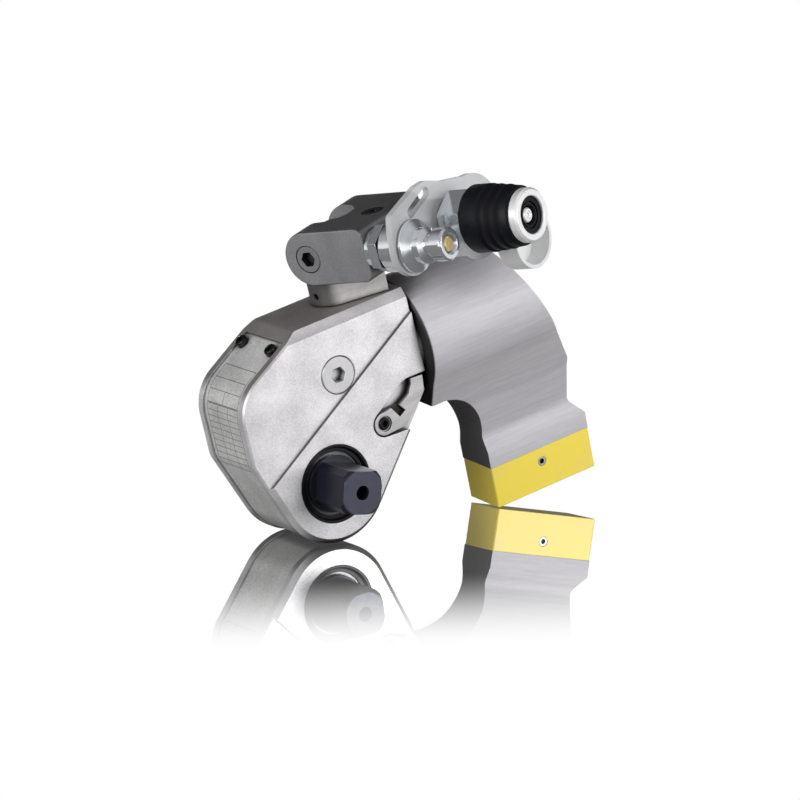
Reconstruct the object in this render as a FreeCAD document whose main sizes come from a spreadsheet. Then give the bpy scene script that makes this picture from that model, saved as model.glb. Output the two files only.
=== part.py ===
"""Hydraulic torque wrench with a 3/4 inch square drive.

The tool frame has its origin on the drive axis at the middle of the housing.  X runs
along the cylinder towards the reaction arm, Y across the housing with the drive square
at -Y, and Z up to the hose swivel.  The whole tool is then leaned back about Y so that
it stands on its round nose and on the lower edge of the reaction pad.
"""

import FreeCAD, Part
import math
import os

import Sketcher

Vector = FreeCAD.Vector
Rotation = FreeCAD.Rotation
Placement = FreeCAD.Placement

X_AXIS = Vector(1, 0, 0)
Y_AXIS = Vector(0, 1, 0)
Z_AXIS = Vector(0, 0, 1)

doc = FreeCAD.newDocument("torque_wrench")
sheet = doc.addObject("Spreadsheet::Sheet", "sizes")

# Every driving dimension in mm or degrees, with its alias in the sheet
DIMENSIONS = {
    # Housing
    "housing_width": 42.4,
    "nose_radius": 27.0,
    "housing_top": 71.7,
    "housing_rear": 56.0,
    "nose_reach": 36.5,
    "nose_top_reach": 0.7,
    "nose_slope_drop": 20.1,
    "nose_under_angle": 20.7,
    "rear_under_angle": 41.2,
    "nose_top_round": 5.0,
    "nose_front_round": 20.0,
    "nose_under_round": 12.0,
    "top_bevel_depth": 6.6,
    "top_bevel_width": 4.3,
    "nose_bevel": 2.3,
    "step_height": 1.5,
    "step_front_level": 27.4,
    "step_slope": 30.6,
    "chamber_width": 22.4,
    "chamber_wall": 4.2,
    "chamber_rear": 24.0,
    "chamber_top": 56.5,
    # Nose shroud
    "shroud_width": 31.0,
    "shroud_thickness": 1.5,
    "shroud_recess": 1.0,
    "shroud_top_level": 68.3,
    "shroud_end_reach": 8.0,
    "shroud_screw_spacing": 24.6,
    "shroud_screw_drop": 5.2,
    "shroud_screw_head": 2.9,
    "shroud_screw_height": 2.8,
    "shroud_screw_shank": 1.5,
    "shroud_screw_length": 6.0,
    # Cylinder
    "cylinder_level": 43.2,
    "bore_radius": 16.0,
    "bore_front": 50.0,
    "barrel_root_radius": 21.0,
    "spline_depth": 1.1,
    "spline_count": 24.0,
    "spline_front": 61.0,
    "spline_length": 36.0,
    "rod_radius": 8.0,
    "rod_end_radius": 10.8,
    "rod_tongue": 11.4,
    "piston_thickness": 14.0,
    "piston_rest": 78.0,
    "stroke": 20.0,
    "seal_section": 3.0,
    "seal_height": 2.0,
    "gland_length": 12.0,
    "piston_end_gap": 1.0,
    "cap_length": 9.0,
    "cap_flange": 2.6,
    "cap_hex": 10.0,
    # Drive train
    "crank_radius": 44.4,
    "rod_pin_radius": 4.8,
    "ratchet_tip_radius": 19.4,
    "ratchet_root_radius": 17.6,
    "ratchet_teeth": 24.0,
    "ratchet_width": 12.0,
    "hub_radius": 14.2,
    "bushing_radius": 17.7,
    "bushing_lip": 1.1,
    "bushing_depth": 1.6,
    "plate_thickness": 4.9,
    "plate_radius": 21.6,
    "plate_head_radius": 8.6,
    "drive_pawl_width": 9.0,
    "drive_pawl_height": 7.5,
    "drive_pawl_lift": 2.0,
    "drive_spline_radius": 10.6,
    "drive_spline_depth": 1.2,
    "drive_spline_count": 12.0,
    "square_size": 19.05,
    "square_length": 22.4,
    "square_corner": 2.6,
    "square_turn": 20.0,
    "drive_shoulder": 12.9,
    "drive_hole": 3.25,
    "drive_hole_depth": 9.0,
    "retainer_radius": 13.4,
    "retainer_thickness": 3.0,
    "button_radius": 3.6,
    "button_travel": 2.0,
    # Release lever
    "lever_pivot_x": 30.5,
    "lever_pivot_z": 16.8,
    "lever_thickness": 3.8,
    "lever_eye": 5.2,
    "lever_hand": 23.8,
    "lever_pocket_radius": 6.0,
    "lever_screw_radius": 2.9,
    "lever_screw_sink": 0.7,
    "lever_gap": 0.35,
    "lever_screw_seat": 4.0,
    "holding_pawl_hub": 5.9,
    "holding_pawl_gap": 0.8,
    "holding_pawl_height": 6.0,
    "pawl_room_gap": 0.8,
    # Side plug
    "side_plug_x": 14.3,
    "side_plug_z": 45.9,
    "side_plug_radius": 8.4,
    "side_plug_length": 7.0,
    "side_plug_hex": 6.6,
    "side_plug_groove": 0.45,
    # Reaction arm
    "ring_radius": 28.6,
    "arm_front": 57.2,
    "arm_rear": 132.9,
    "arm_top_rear": 105.8,
    "arm_bend": 120.4,
    "arm_bend_level": 38.4,
    "arm_knee": 9.6,
    "arm_waist": 132.4,
    "arm_roll": 3.4,
    "arm_corner_round": 5.0,
    "arm_front_round": 1.6,
    "leg_front": 85.3,
    "leg_level": -13.0,
    "foot_front": 85.4,
    "foot_rear": 139.0,
    "foot_top": -20.6,
    "leg_half_thickness": 8.8,
    "leg_touch": 15.0,
    "shin_flare": 5.0,
    "shin_drop": 9.0,
    "pad_top": -28.3,
    "pad_height": 19.1,
    "pad_width": 22.9,
    "pad_tongue_height": 9.0,
    "pad_wall": 4.2,
    "pad_screw_radius": 2.2,
    "lock_screw_radius": 3.0,
    "lock_screw_x": 70.0,
    # Hose swivel
    "swivel_x": 40.0,
    "swivel_turn": 22.8,
    "swivel_tilt": 3.7,
    "base_height": 11.6,
    "base_gap": 0.25,
    "base_half_width": 11.3,
    "base_round_end": 18.0,
    "base_square_end": 14.6,
    "base_turn": -15.5,
    "base_screw_radius": 1.6,
    "base_screw_turn": 27.0,
    "post_radius": 8.5,
    "post_depth": 9.6,
    "neck_radius": 6.0,
    "head_radius": 10.4,
    "head_flat": 8.0,
    "pin_level": 96.9,
    "yoke_half_height": 12.4,
    "yoke_half_width": 23.2,
    "yoke_length": 32.0,
    "yoke_corner": 4.0,
    "yoke_edge": 0.8,
    "pin_radius": 4.0,
    "pin_head_radius": 6.4,
    "pin_head_length": 9.0,
    "yoke_plug_radius": 5.0,
    "yoke_plug_reach": 23.4,
    # Couplings
    "coupling_spacing": 30.2,
    "port_radius": 5.0,
    "port_depth": 8.0,
    "nipple_hex": 19.0,
    "nipple_hex_end": 40.2,
    "nipple_collar_radius": 10.7,
    "nipple_flange_radius": 11.7,
    "nipple_flange_length": 3.2,
    "nipple_neck_radius": 8.1,
    "nipple_plug_length": 17.3,
    "nipple_tip_radius": 7.4,
    "nipple_bore": 3.6,
    "coupler_neck_radius": 10.0,
    "coupler_hex": 24.0,
    "coupler_hex_gap": 2.7,
    "coupler_hex_length": 11.7,
    "coupler_body_radius": 9.4,
    "coupler_front_radius": 8.2,
    "coupler_seal_radius": 7.4,
    "coupler_seal_length": 7.2,
    "coupler_seal_bore": 4.1,
    "coupler_seal_drop": 1.5,
    "sleeve_radius": 12.0,
    "grip_radius": 15.0,
    "grip_gap": 0.6,
    "grip_length": 25.2,
    "sleeve_nose": 4.0,
    "sleeve_lip": 1.2,
    "grip_ribs": 3.0,
    "sleeve_travel": 4.0,
    "coupler_poppet_radius": 3.3,
    "coupler_poppet_drop": 2.2,
    "coupler_poppet_head": 12.0,
    "coupler_poppet_tail": 7.0,
    "poppet_travel": 3.0,
    # Plastic holder plate and dust cap
    "holder_reach": 48.6,
    "holder_thickness": 3.2,
    "holder_disc_radius": 19.0,
    "holder_ring_radius": 12.8,
    "cap_radius": 13.5,
    "cap_depth": 11.0,
    "cap_shell": 1.6,
    "cap_stand_off": 10.2,
    "cap_side": 41.0,
    "cap_drop": 19.5,
    "cap_stem_radius": 4.0,
    "holder_disc_side": 33.0,
    "holder_disc_drop": 5.0,
    # Fits
    "running_gap": 0.05,
    "seat_gap": 0.02,
    "loose_gap": 0.3,
}

for row, (alias, number) in enumerate(DIMENSIONS.items(), start=1):
    sheet.set("A%d" % row, alias.replace("_", " "))
    sheet.set("B%d" % row, str(number))
    sheet.setAlias("B%d" % row, alias)
doc.recompute()


def text_of(value):
    """The expression of a size, or the digits of a plain number."""
    return value.text if isinstance(value, Size) else repr(float(value))


class Size(float):
    """A number that remembers the sheet expression it was worked out from."""

    def __new__(cls, number, text):
        made = float.__new__(cls, number)
        made.text = text
        return made

    def __add__(self, other):
        return Size(float(self) + float(other), "(%s + %s)" % (self.text, text_of(other)))

    def __radd__(self, other):
        return Size(float(other) + float(self), "(%s + %s)" % (text_of(other), self.text))

    def __sub__(self, other):
        return Size(float(self) - float(other), "(%s - %s)" % (self.text, text_of(other)))

    def __rsub__(self, other):
        return Size(float(other) - float(self), "(%s - %s)" % (text_of(other), self.text))

    def __mul__(self, other):
        return Size(float(self) * float(other), "(%s * %s)" % (self.text, text_of(other)))

    def __rmul__(self, other):
        return self.__mul__(other)

    def __truediv__(self, other):
        return Size(float(self) / float(other), "(%s / %s)" % (self.text, text_of(other)))

    def __neg__(self):
        return Size(-float(self), "(-%s)" % self.text)


class Sizes:
    """Named access to the cells of the sheet."""

    def __getattr__(self, alias):
        return Size(float(sheet.get(alias)), "sizes." + alias)


size = Sizes()
pieces = []


def degrees_sin(angle):
    return math.sin(math.radians(angle))


def degrees_cos(angle):
    return math.cos(math.radians(angle))


def unit(angle):
    """Direction in the XZ plane at an angle from +X towards +Z."""
    return Vector(degrees_cos(angle), 0, degrees_sin(angle))


# Places of the moving groups

axis_point = Vector(0, 0, size.cylinder_level)
ROLL = Placement(axis_point, Rotation(X_AXIS, size.arm_roll)).multiply(Placement(-axis_point, Rotation()))
pad_floor = size.pad_top - size.pad_height
pad_corner = ROLL.multVec(Vector(size.foot_front, -size.pad_width / 2, pad_floor))
pad_distance = math.hypot(pad_corner.x, pad_corner.z)
lean = math.degrees(math.atan2(-pad_corner.z, pad_corner.x) - math.asin(size.nose_radius / pad_distance))
STAND = Placement(Vector(0, 0, 0), Rotation(Y_AXIS, -lean))

barrel_end = size.piston_rest + size.piston_thickness + size.piston_end_gap + size.cap_length
yoke_point = Vector(size.swivel_x, 0, size.pin_level)
yoke_turn = Rotation(Z_AXIS, size.swivel_turn - 90)
YOKE = Placement(yoke_point, yoke_turn.multiply(Rotation(Y_AXIS, -size.swivel_tilt)))
ALONG_X = Rotation(Y_AXIS, 90)
TO_DRIVE_SIDE = Rotation(X_AXIS, 90)
TO_FAR_SIDE = Rotation(X_AXIS, -90)


def place(item, label, frame=None):
    """Name a finished sub-part and stand it in its place."""
    item.Label = label
    item.Placement = STAND.multiply(frame) if frame else STAND
    pieces.append(item)
    return item


def coded(label, shape, frame=None):
    """A sub-part whose shape is worked out from the sheet in code."""
    item = doc.addObject("Part::Feature", label)
    item.Shape = shape.removeSplitter()
    return place(item, label, frame)


def plane_of(body, role):
    for feature in body.Origin.OriginFeatures:
        if feature.Role == role:
            return feature
    raise ValueError(role)


def outline_sketch(body, name, role, points):
    """A closed polygon whose corners are bound to the sheet."""
    sketch = body.newObject("Sketcher::SketchObject", name)
    sketch.AttachmentSupport = [(plane_of(body, role), "")]
    sketch.MapMode = "FlatFace"
    corners = [Vector(float(x), float(y), 0) for x, y in points]
    count = len(corners)
    for index in range(count):
        sketch.addGeometry(Part.LineSegment(corners[index], corners[(index + 1) % count]))
    for index in range(count):
        sketch.addConstraint(Sketcher.Constraint("Coincident", index, 2, (index + 1) % count, 1))
    for index, point in enumerate(points):
        for kind, value in zip(("DistanceX", "DistanceY"), point):
            number = sketch.addConstraint(
                Sketcher.Constraint(kind, -1, 1, index, 1, float(value)))
            if isinstance(value, Size):
                sketch.setExpression("Constraints[%d]" % number, value.text)
    return sketch


def turned(label, profile, frame=None):
    """A body turned about its own Z axis from (radius, height) corners."""
    body = doc.addObject("PartDesign::Body", label)
    sketch = outline_sketch(body, label + "_profile", "XZ_Plane", profile)
    turn = body.newObject("PartDesign::Revolution", label + "_turn")
    turn.Profile = sketch
    turn.ReferenceAxis = (sketch, ["V_Axis"])
    turn.Angle = 360
    doc.recompute()
    return place(body, label, frame)


def add_prism(body, kind, across, height, start):
    """A hexagon about the body's Z axis, added to it or taken from it."""
    prism = body.newObject("PartDesign::" + kind, body.Label + "_" + kind.lower())
    prism.Polygon = 6
    prism.setExpression("Circumradius", text_of(across / 2 / math.cos(math.pi / 6)))
    prism.setExpression("Height", text_of(height))
    prism.Placement = Placement(Vector(0, 0, float(start)), Rotation())
    doc.recompute()
    return prism


def hex_socket(body, across, depth, face):
    return add_prism(body, "SubtractivePrism", across, depth, face - depth)


def ring_profile(inner, outer, start, end):
    return [(inner, start), (outer, start), (outer, end), (inner, end)]


def rod_profile(radius, start, end):
    return ring_profile(0.0, radius, start, end)


def cylinder(radius, length, base, axis):
    return Part.makeCylinder(radius, length, base, axis)


def across(radius, half_width, x, z):
    """A cylinder right across the tool, about an axis parallel to Y."""
    return cylinder(radius, 2 * half_width, Vector(x, -half_width, z), Y_AXIS)


def block(x0, x1, y0, y1, z0, z1):
    return Part.makeBox(x1 - x0, y1 - y0, z1 - z0, Vector(x0, y0, z0))


def slab(points, y0, y1):
    """A plate with an outline in XZ, between two levels of Y."""
    corners = [Vector(x, y0, z) for x, z in points]
    wire = Part.makePolygon(corners + corners[:1])
    return Part.Face(wire).extrude(Vector(0, y1 - y0, 0))


def edges_where(shape, test):
    return [edge for edge in shape.Edges if test(edge)]


def runs_along(edge, axis):
    if edge.Curve.TypeId != "Part::GeomLine":
        return False
    return edge.Curve.Direction.cross(axis).Length < 1e-6


def toothed(count, tip, root, lean_share=0.5):
    """Corners of a toothed wheel, two to each tooth."""
    corners = []
    for tooth in range(int(count)):
        for share, radius in ((0.0, root), (lean_share * 0.5, tip), (lean_share, tip), (0.75, root)):
            angle = 2 * math.pi * (tooth + share) / int(count)
            corners.append((radius * math.cos(angle), radius * math.sin(angle)))
    return corners


def toothed_bar(corners, base, axis, length):
    """A toothed bar along X or Y."""
    if axis == X_AXIS:
        points = [Vector(base.x, base.y + a, base.z + b) for a, b in corners]
    else:
        points = [Vector(base.x + a, base.y, base.z + b) for a, b in corners]
    return Part.Face(Part.makePolygon(points + points[:1])).extrude(axis * length)


# Housing

half = size.housing_width / 2
outside = 2 * size.arm_rear
nose_under = 180 + size.nose_under_angle
rear_under = -size.rear_under_angle
slope_foot = size.housing_top - size.nose_slope_drop


def tangent_height(angle, reach):
    """Level at a given X on the line that touches the nose circle at an angle."""
    return (size.nose_radius - reach * degrees_cos(angle)) / degrees_sin(angle)


def housing_outline():
    nose = unit(nose_under) * size.nose_radius
    rear = unit(rear_under) * size.nose_radius
    return [
        (size.housing_rear, size.housing_top),
        (-size.nose_top_reach, size.housing_top),
        (-size.nose_reach, slope_foot),
        (-size.nose_reach, tangent_height(nose_under, -size.nose_reach)),
        (nose.x, nose.z),
        (0, 0),
        (rear.x, rear.z),
        (size.housing_rear, tangent_height(rear_under, size.housing_rear)),
    ]


def housing_core(half_width):
    """The housing's side outline as a solid of the given half width."""
    body = slab(housing_outline(), -half_width, half_width)
    body = body.fuse(across(size.nose_radius, half_width, 0, 0)).removeSplitter()
    rounds = (
        (-size.nose_top_reach, size.housing_top, size.nose_top_round),
        (-size.nose_reach, slope_foot, size.nose_front_round),
        (-size.nose_reach, tangent_height(nose_under, -size.nose_reach), size.nose_under_round),
    )
    for x, z, radius in rounds:
        corner = edges_where(body, lambda edge: runs_along(edge, Y_AXIS)
                             and math.hypot(edge.Vertexes[0].X - x, edge.Vertexes[0].Z - z) < 0.01)
        body = body.makeFillet(radius, corner)
    return body


def inset_core(inset, half_width):
    """The housing outline drawn in by a distance, as a solid."""
    core = housing_core(half_width)
    side = [face for face in core.Faces if abs(face.CenterOfMass.y + half_width) < 1e-6][0]
    wire = side.OuterWire.makeOffset2D(-inset)
    return Part.Face(wire).extrude(Vector(0, 2 * half_width, 0))


def bevelled_housing():
    core = housing_core(half)
    rims = [edge for face in core.Faces if abs(abs(face.CenterOfMass.y) - half) < 1e-6 for edge in face.Edges
            if edge.CenterOfMass.z < size.housing_top - 0.1 and edge.CenterOfMass.x < size.housing_rear - 0.1]
    core = core.makeChamfer(size.nose_bevel, rims)
    flank_top = size.housing_top - size.top_bevel_depth
    for side in (-1, 1):
        edge_y = side * half
        wedge = Part.Face(Part.makePolygon([
            Vector(-outside, edge_y, flank_top),
            Vector(-outside, edge_y - side * size.top_bevel_width, size.housing_top),
            Vector(-outside, edge_y, size.housing_top + 1),
            Vector(-outside, edge_y + side, size.housing_top + 1),
            Vector(-outside, edge_y + side, flank_top),
            Vector(-outside, edge_y, flank_top),
        ])).extrude(Vector(2 * outside, 0, 0))
        core = core.cut(wedge)
    return core


def chamber():
    """The room for the drive plates and the ratchet, open behind the shroud."""
    half_width = size.chamber_width / 2
    inner = inset_core(size.chamber_wall, half_width)
    inner = inner.cut(block(size.chamber_rear, outside, -outside, outside, -outside, outside))
    return inner.cut(block(-outside, outside, -outside, outside, size.chamber_top, outside))


def pawl_room():
    """The widening behind the ratchet for the holding pawl."""
    radius = size.holding_pawl_hub + size.pawl_room_gap
    half_width = size.chamber_width / 2
    room = across(radius, half_width, size.lever_pivot_x, size.lever_pivot_z)
    reach = math.hypot(size.lever_pivot_x, size.lever_pivot_z)
    passage = block(0, reach, -half_width, half_width, -radius, radius)
    passage.rotate(Vector(0, 0, 0), Y_AXIS, -math.degrees(math.atan2(size.lever_pivot_z, size.lever_pivot_x)))
    return room.fuse(passage)


def step_region(side):
    """The flank above the diagonal step, which lies lower than the drive end."""
    rise = math.tan(math.radians(size.step_slope))
    front = (-outside, size.step_front_level - outside * rise)
    rear = (outside, size.step_front_level + outside * rise)
    outer = side * (half + 1)
    inner = side * (half - size.step_height)
    above = [(outside, 2 * outside), (-outside, 2 * outside)]
    return slab([front, rear] + above, min(inner, outer), max(inner, outer))


def lever_pocket_outline(gap):
    x = size.lever_pivot_x
    z = size.lever_pivot_z
    reach = size.lever_pocket_radius - gap
    return [
        (x - reach * 0.62, z + reach * 0.79),
        (x + 12.6, z + 15.0 - gap),
        (x + 15.5, z + 15.9 - gap),
        (x + 30.0, z + 15.9 - gap),
        (x + 30.0, z - 20.0),
        (x + 11.0, z - reach * 1.12),
        (x, z - reach),
        (x, z),
    ]


def lever_pocket():
    face = -half
    floor = face + size.lever_thickness + size.lever_gap
    outline = slab(lever_pocket_outline(0), face - 1, floor)
    eye = cylinder(size.lever_pocket_radius, floor - face + 1,
                   Vector(size.lever_pivot_x, face - 1, size.lever_pivot_z), Y_AXIS)
    return outline.fuse(eye)


shroud_top_corner = Vector(-size.nose_top_reach, 0, size.housing_top)
slope_run = size.nose_reach - size.nose_top_reach
slope_angle = math.degrees(math.atan2(size.nose_slope_drop, slope_run))
slope_out = Vector(-degrees_sin(slope_angle), 0, degrees_cos(slope_angle))
slope_down = Vector(-degrees_cos(slope_angle), 0, -degrees_sin(slope_angle))


def shroud_zone(gap=0.0):
    """The part of the nose that the shroud covers."""
    return slab([
        (shroud_top_corner.x - 0.2, size.shroud_top_level - gap),
        (-70, size.shroud_top_level - gap),
        (-70, -60),
        (-size.shroud_end_reach - gap, -60),
        (-size.shroud_end_reach - gap, -12),
        (-12, 20),
    ], -30, 30)


def shroud_strip(depth, width, gap=0.0):
    """The nose strip between the recess level and a depth below it."""
    strip = inset_core(size.shroud_recess, width / 2).cut(inset_core(depth, width / 2 + 1))
    return strip.common(shroud_zone(gap))


def recess_strip():
    rim = housing_core(size.shroud_width / 2).cut(
        inset_core(size.shroud_recess + size.shroud_thickness + size.seat_gap, half))
    return rim.common(shroud_zone())


def shroud_screw_seats():
    """Centre of each shroud screw on the recess surface."""
    down = size.shroud_screw_drop + (size.housing_top - size.shroud_top_level) / degrees_sin(slope_angle)
    centre = shroud_top_corner + slope_down * down - slope_out * size.shroud_recess
    return [centre + Y_AXIS * (side * size.shroud_screw_spacing / 2) for side in (-1, 1)]


def barrel():
    base = Vector(size.housing_rear - 1, 0, size.cylinder_level)
    length = barrel_end - size.housing_rear + 1
    tube = cylinder(size.barrel_root_radius, length, base, X_AXIS)
    tip = size.barrel_root_radius + size.spline_depth
    teeth = toothed(size.spline_count, tip, size.barrel_root_radius - 0.2)
    start = Vector(size.spline_front, 0, size.cylinder_level)
    spline = toothed_bar(teeth, start, X_AXIS, size.spline_length)
    spline.rotate(start, X_AXIS, size.arm_roll)
    # The barrel's end is faced square, teeth and all.
    spline = spline.common(cylinder(tip + 1, barrel_end - size.spline_front, start, X_AXIS))
    return tube.fuse(spline)


def housing_shape():
    body = bevelled_housing()
    body = body.cut(chamber())
    body = body.cut(pawl_room())
    for side in (-1, 1):
        body = body.cut(step_region(side))
    body = body.cut(recess_strip())
    body = body.cut(lever_pocket())
    body = body.fuse(barrel())
    level = size.cylinder_level
    bore_length = barrel_end - size.bore_front + 1
    body = body.cut(cylinder(size.bore_radius, bore_length, Vector(size.bore_front, 0, level), X_AXIS))
    gland_seat = size.rod_radius + size.seal_section + 1.0
    body = body.cut(cylinder(gland_seat, size.bore_front - size.chamber_rear + 2,
                             Vector(size.chamber_rear - 1, 0, level), X_AXIS))
    body = body.cut(across(size.bushing_radius + size.seat_gap, half + 1, 0, 0))
    body = body.cut(cylinder(size.post_radius + size.running_gap, size.post_depth + 1,
                             Vector(size.swivel_x, 0, size.housing_top - size.post_depth), Z_AXIS))
    screw_end = size.chamber_width / 2 + size.lever_screw_seat + size.loose_gap
    body = body.cut(cylinder(size.lever_screw_radius + size.running_gap, half + 1 + screw_end,
                             Vector(size.lever_pivot_x, -half - 1, size.lever_pivot_z), Y_AXIS))
    body = body.cut(cylinder(size.side_plug_radius + size.seat_gap, size.side_plug_length,
                             Vector(size.side_plug_x, -half, size.side_plug_z), Y_AXIS))
    groove = size.side_plug_groove
    plug_face = Vector(size.side_plug_x, size.step_height - half, size.side_plug_z)
    plug_rim = Part.makeCone(size.side_plug_radius + groove, size.side_plug_radius, groove, plug_face, Y_AXIS)
    body = body.cut(plug_rim)
    for seat in shroud_screw_seats():
        hole = cylinder(size.shroud_screw_shank + size.seat_gap,
                        size.shroud_screw_length + 1, seat + slope_out, -slope_out)
        body = body.cut(hole)
    return body


housing = coded("housing", housing_shape())


def shroud_shape():
    strip = shroud_strip(size.shroud_recess + size.shroud_thickness,
                         size.shroud_width - 2 * size.seat_gap, size.seat_gap)
    for seat in shroud_screw_seats():
        hole = cylinder(size.shroud_screw_shank + size.running_gap, 8, seat + slope_out * 4, -slope_out)
        strip = strip.cut(hole)
    return strip


coded("nose_shroud", shroud_shape())


def button_screw(seat, out):
    """A button head screw with a hexagon socket."""
    head = cylinder(size.shroud_screw_head, size.shroud_screw_height, seat, out)
    rim = edges_where(head, lambda edge: edge.Closed
                      and (edge.CenterOfMass - seat).dot(out) > size.shroud_screw_height / 2)
    head = head.makeFillet(size.shroud_screw_height * 0.3, rim)
    shank = cylinder(size.shroud_screw_shank, size.shroud_screw_length, seat, -out)
    socket = cylinder(size.shroud_screw_shank * 0.8, size.shroud_screw_height, seat + out * 0.9, out)
    return head.fuse(shank).cut(socket)


coded("shroud_screws", Part.makeCompound([button_screw(seat, slope_out) for seat in shroud_screw_seats()]))

plug_profile = [
    (0.0, 0.0),
    (size.side_plug_radius, 0.0),
    (size.side_plug_radius, size.side_plug_length - size.step_height - size.side_plug_groove),
    (size.side_plug_radius - size.side_plug_groove, size.side_plug_length - size.step_height),
    (0.0, size.side_plug_length - size.step_height),
]
plug_floor = Vector(size.side_plug_x, size.side_plug_length - half, size.side_plug_z)
side_plug = turned("side_plug", plug_profile, Placement(plug_floor, TO_DRIVE_SIDE))
hex_socket(side_plug, size.side_plug_hex, size.side_plug_hex * 0.6, size.side_plug_length - size.step_height)

# Drive train

bushing_inner = size.hub_radius + size.running_gap
chamber_half = size.chamber_width / 2
bushing_length = half - chamber_half
bushing_profile = [
    (bushing_inner, 0.0),
    (size.bushing_radius, 0.0),
    (size.bushing_radius, bushing_length),
    (size.bushing_radius - size.bushing_lip, bushing_length),
    (size.bushing_radius - size.bushing_lip - 0.8, bushing_length - size.bushing_depth),
    (bushing_inner, bushing_length - size.bushing_depth),
]
turned("drive_bushing", bushing_profile, Placement(Vector(0, -chamber_half, 0), TO_DRIVE_SIDE))
turned("rear_bushing", bushing_profile, Placement(Vector(0, chamber_half, 0), TO_FAR_SIDE))

hub_half = half - size.bushing_depth - 1.0
ratchet_half = size.ratchet_width / 2


def ratchet_corners():
    """Saw teeth: a steep face and a long back to each tooth."""
    corners = []
    for tooth in range(int(size.ratchet_teeth)):
        for share, radius in ((0.0, size.ratchet_root_radius), (0.12, size.ratchet_tip_radius),
                              (0.3, size.ratchet_tip_radius)):
            angle = 2 * math.pi * (tooth + share) / int(size.ratchet_teeth)
            corners.append((radius * math.cos(angle), radius * math.sin(angle)))
    return corners


def ratchet_shape():
    wheel = toothed_bar(ratchet_corners(), Vector(0, -ratchet_half, 0), Y_AXIS, size.ratchet_width)
    wheel = wheel.fuse(across(size.hub_radius, hub_half, 0, 0))
    clearance = size.running_gap
    bore = toothed(size.drive_spline_count, size.drive_spline_radius + size.drive_spline_depth + clearance,
                   size.drive_spline_radius + clearance)
    return wheel.cut(toothed_bar(bore, Vector(0, -hub_half - 1, 0), Y_AXIS, 2 * hub_half + 2))


coded("ratchet_wheel", ratchet_shape())


def square_drive_shape():
    face = -half - size.square_length
    turn = Rotation(Y_AXIS, size.square_turn)
    square = block(-size.square_size / 2, size.square_size / 2, face, -hub_half - 1,
                   -size.square_size / 2, size.square_size / 2)
    corners = edges_where(square, lambda edge: runs_along(edge, Y_AXIS))
    square = square.makeChamfer(size.square_corner, corners)
    front_radius = size.square_size / 2 * math.sqrt(2) - size.square_corner * 0.72
    taper = Part.makeCone(front_radius - 1.6, front_radius + 40, 41.6, Vector(0, face, 0), Y_AXIS)
    square = square.common(taper)
    square.Placement = Placement(Vector(0, 0, 0), turn)
    shoulder = cylinder(size.drive_shoulder, 2.0, Vector(0, -hub_half - 2.0 - 0.1, 0), Y_AXIS)
    spline = toothed(size.drive_spline_count, size.drive_spline_radius + size.drive_spline_depth,
                     size.drive_spline_radius)
    shaft = toothed_bar(spline, Vector(0, -hub_half - 0.1, 0), Y_AXIS, 2 * hub_half + 0.1)
    body = square.fuse([shoulder, shaft])
    body = body.cut(cylinder(size.drive_hole, size.drive_hole_depth, Vector(0, face, 0), Y_AXIS))
    button_room = cylinder(size.button_radius + size.running_gap, 12.0, Vector(0, hub_half - 12, 0), Y_AXIS)
    return body.cut(button_room)


coded("square_drive", square_drive_shape())

retainer_profile = ring_profile(size.button_radius + size.running_gap, size.retainer_radius,
                                0.1, size.retainer_thickness * 0.55)
turned("drive_retainer", retainer_profile, Placement(Vector(0, hub_half, 0), TO_FAR_SIDE))
button_profile = [
    (0.0, 0.0),
    (size.button_radius, 0.0),
    (size.button_radius, 9.5),
    (size.button_radius - 0.8, 10.3),
    (0.0, 10.3),
]
turned("retainer_button", button_profile, Placement(Vector(0, hub_half - 7.0, 0), TO_FAR_SIDE))
button_spring = ring_profile(size.button_radius - 1.6, size.button_radius - 0.4, 0.05,
                             5.0 - size.button_travel - 0.4)
turned("button_spring", button_spring, Placement(Vector(0, hub_half - 12.0, 0), TO_FAR_SIDE))

crank_x = size.stroke / 2
crank_z = math.sqrt(size.crank_radius ** 2 - crank_x ** 2)


def drive_plate(side):
    inner = side * (ratchet_half + 0.15)
    outer = side * (ratchet_half + 0.15 + size.plate_thickness)
    low = min(inner, outer)
    high = max(inner, outer)
    disc = cylinder(size.plate_radius, high - low, Vector(0, low, 0), Y_AXIS)
    head = cylinder(size.plate_head_radius, high - low, Vector(crank_x, low, crank_z), Y_AXIS)
    lean_angle = math.degrees(math.atan2(crank_x, crank_z))
    web = slab([(-13, 8), (13, 8), (size.plate_head_radius, size.crank_radius),
                (-size.plate_head_radius, size.crank_radius)], low, high)
    web.rotate(Vector(0, 0, 0), Y_AXIS, lean_angle)
    plate = disc.fuse([head, web])
    plate = plate.cut(cylinder(size.hub_radius + 0.1, 40, Vector(0, -20, 0), Y_AXIS))
    return plate.cut(cylinder(size.rod_pin_radius + size.seat_gap, 40, Vector(crank_x, -20, crank_z), Y_AXIS))


coded("drive_plates", Part.makeCompound([drive_plate(-1), drive_plate(1)]))
pin_half = ratchet_half + 0.15 + size.plate_thickness
turned("rod_pin", rod_profile(size.rod_pin_radius, 0.0, 2 * pin_half),
       Placement(Vector(crank_x, -pin_half, crank_z), TO_FAR_SIDE))

pawl_floor = size.ratchet_tip_radius + 0.3


def drive_pawl_shape():
    """A toothed segment held between the plates above the ratchet."""
    half_width = size.drive_pawl_width
    body = block(-half_width, half_width, -ratchet_half, ratchet_half, 0, pawl_floor + size.drive_pawl_height)
    body = body.cut(across(pawl_floor, ratchet_half + 1, 0, 0))
    body = body.cut(block(-half_width - 1, half_width + 1, -20, 20, -1, pawl_floor * 0.8))
    body.rotate(Vector(0, 0, 0), Y_AXIS, math.degrees(math.atan2(crank_x, crank_z)))
    return body


coded("drive_pawl", drive_pawl_shape())

# Piston and cylinder

level_point = Vector(0, 0, size.cylinder_level)


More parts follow.
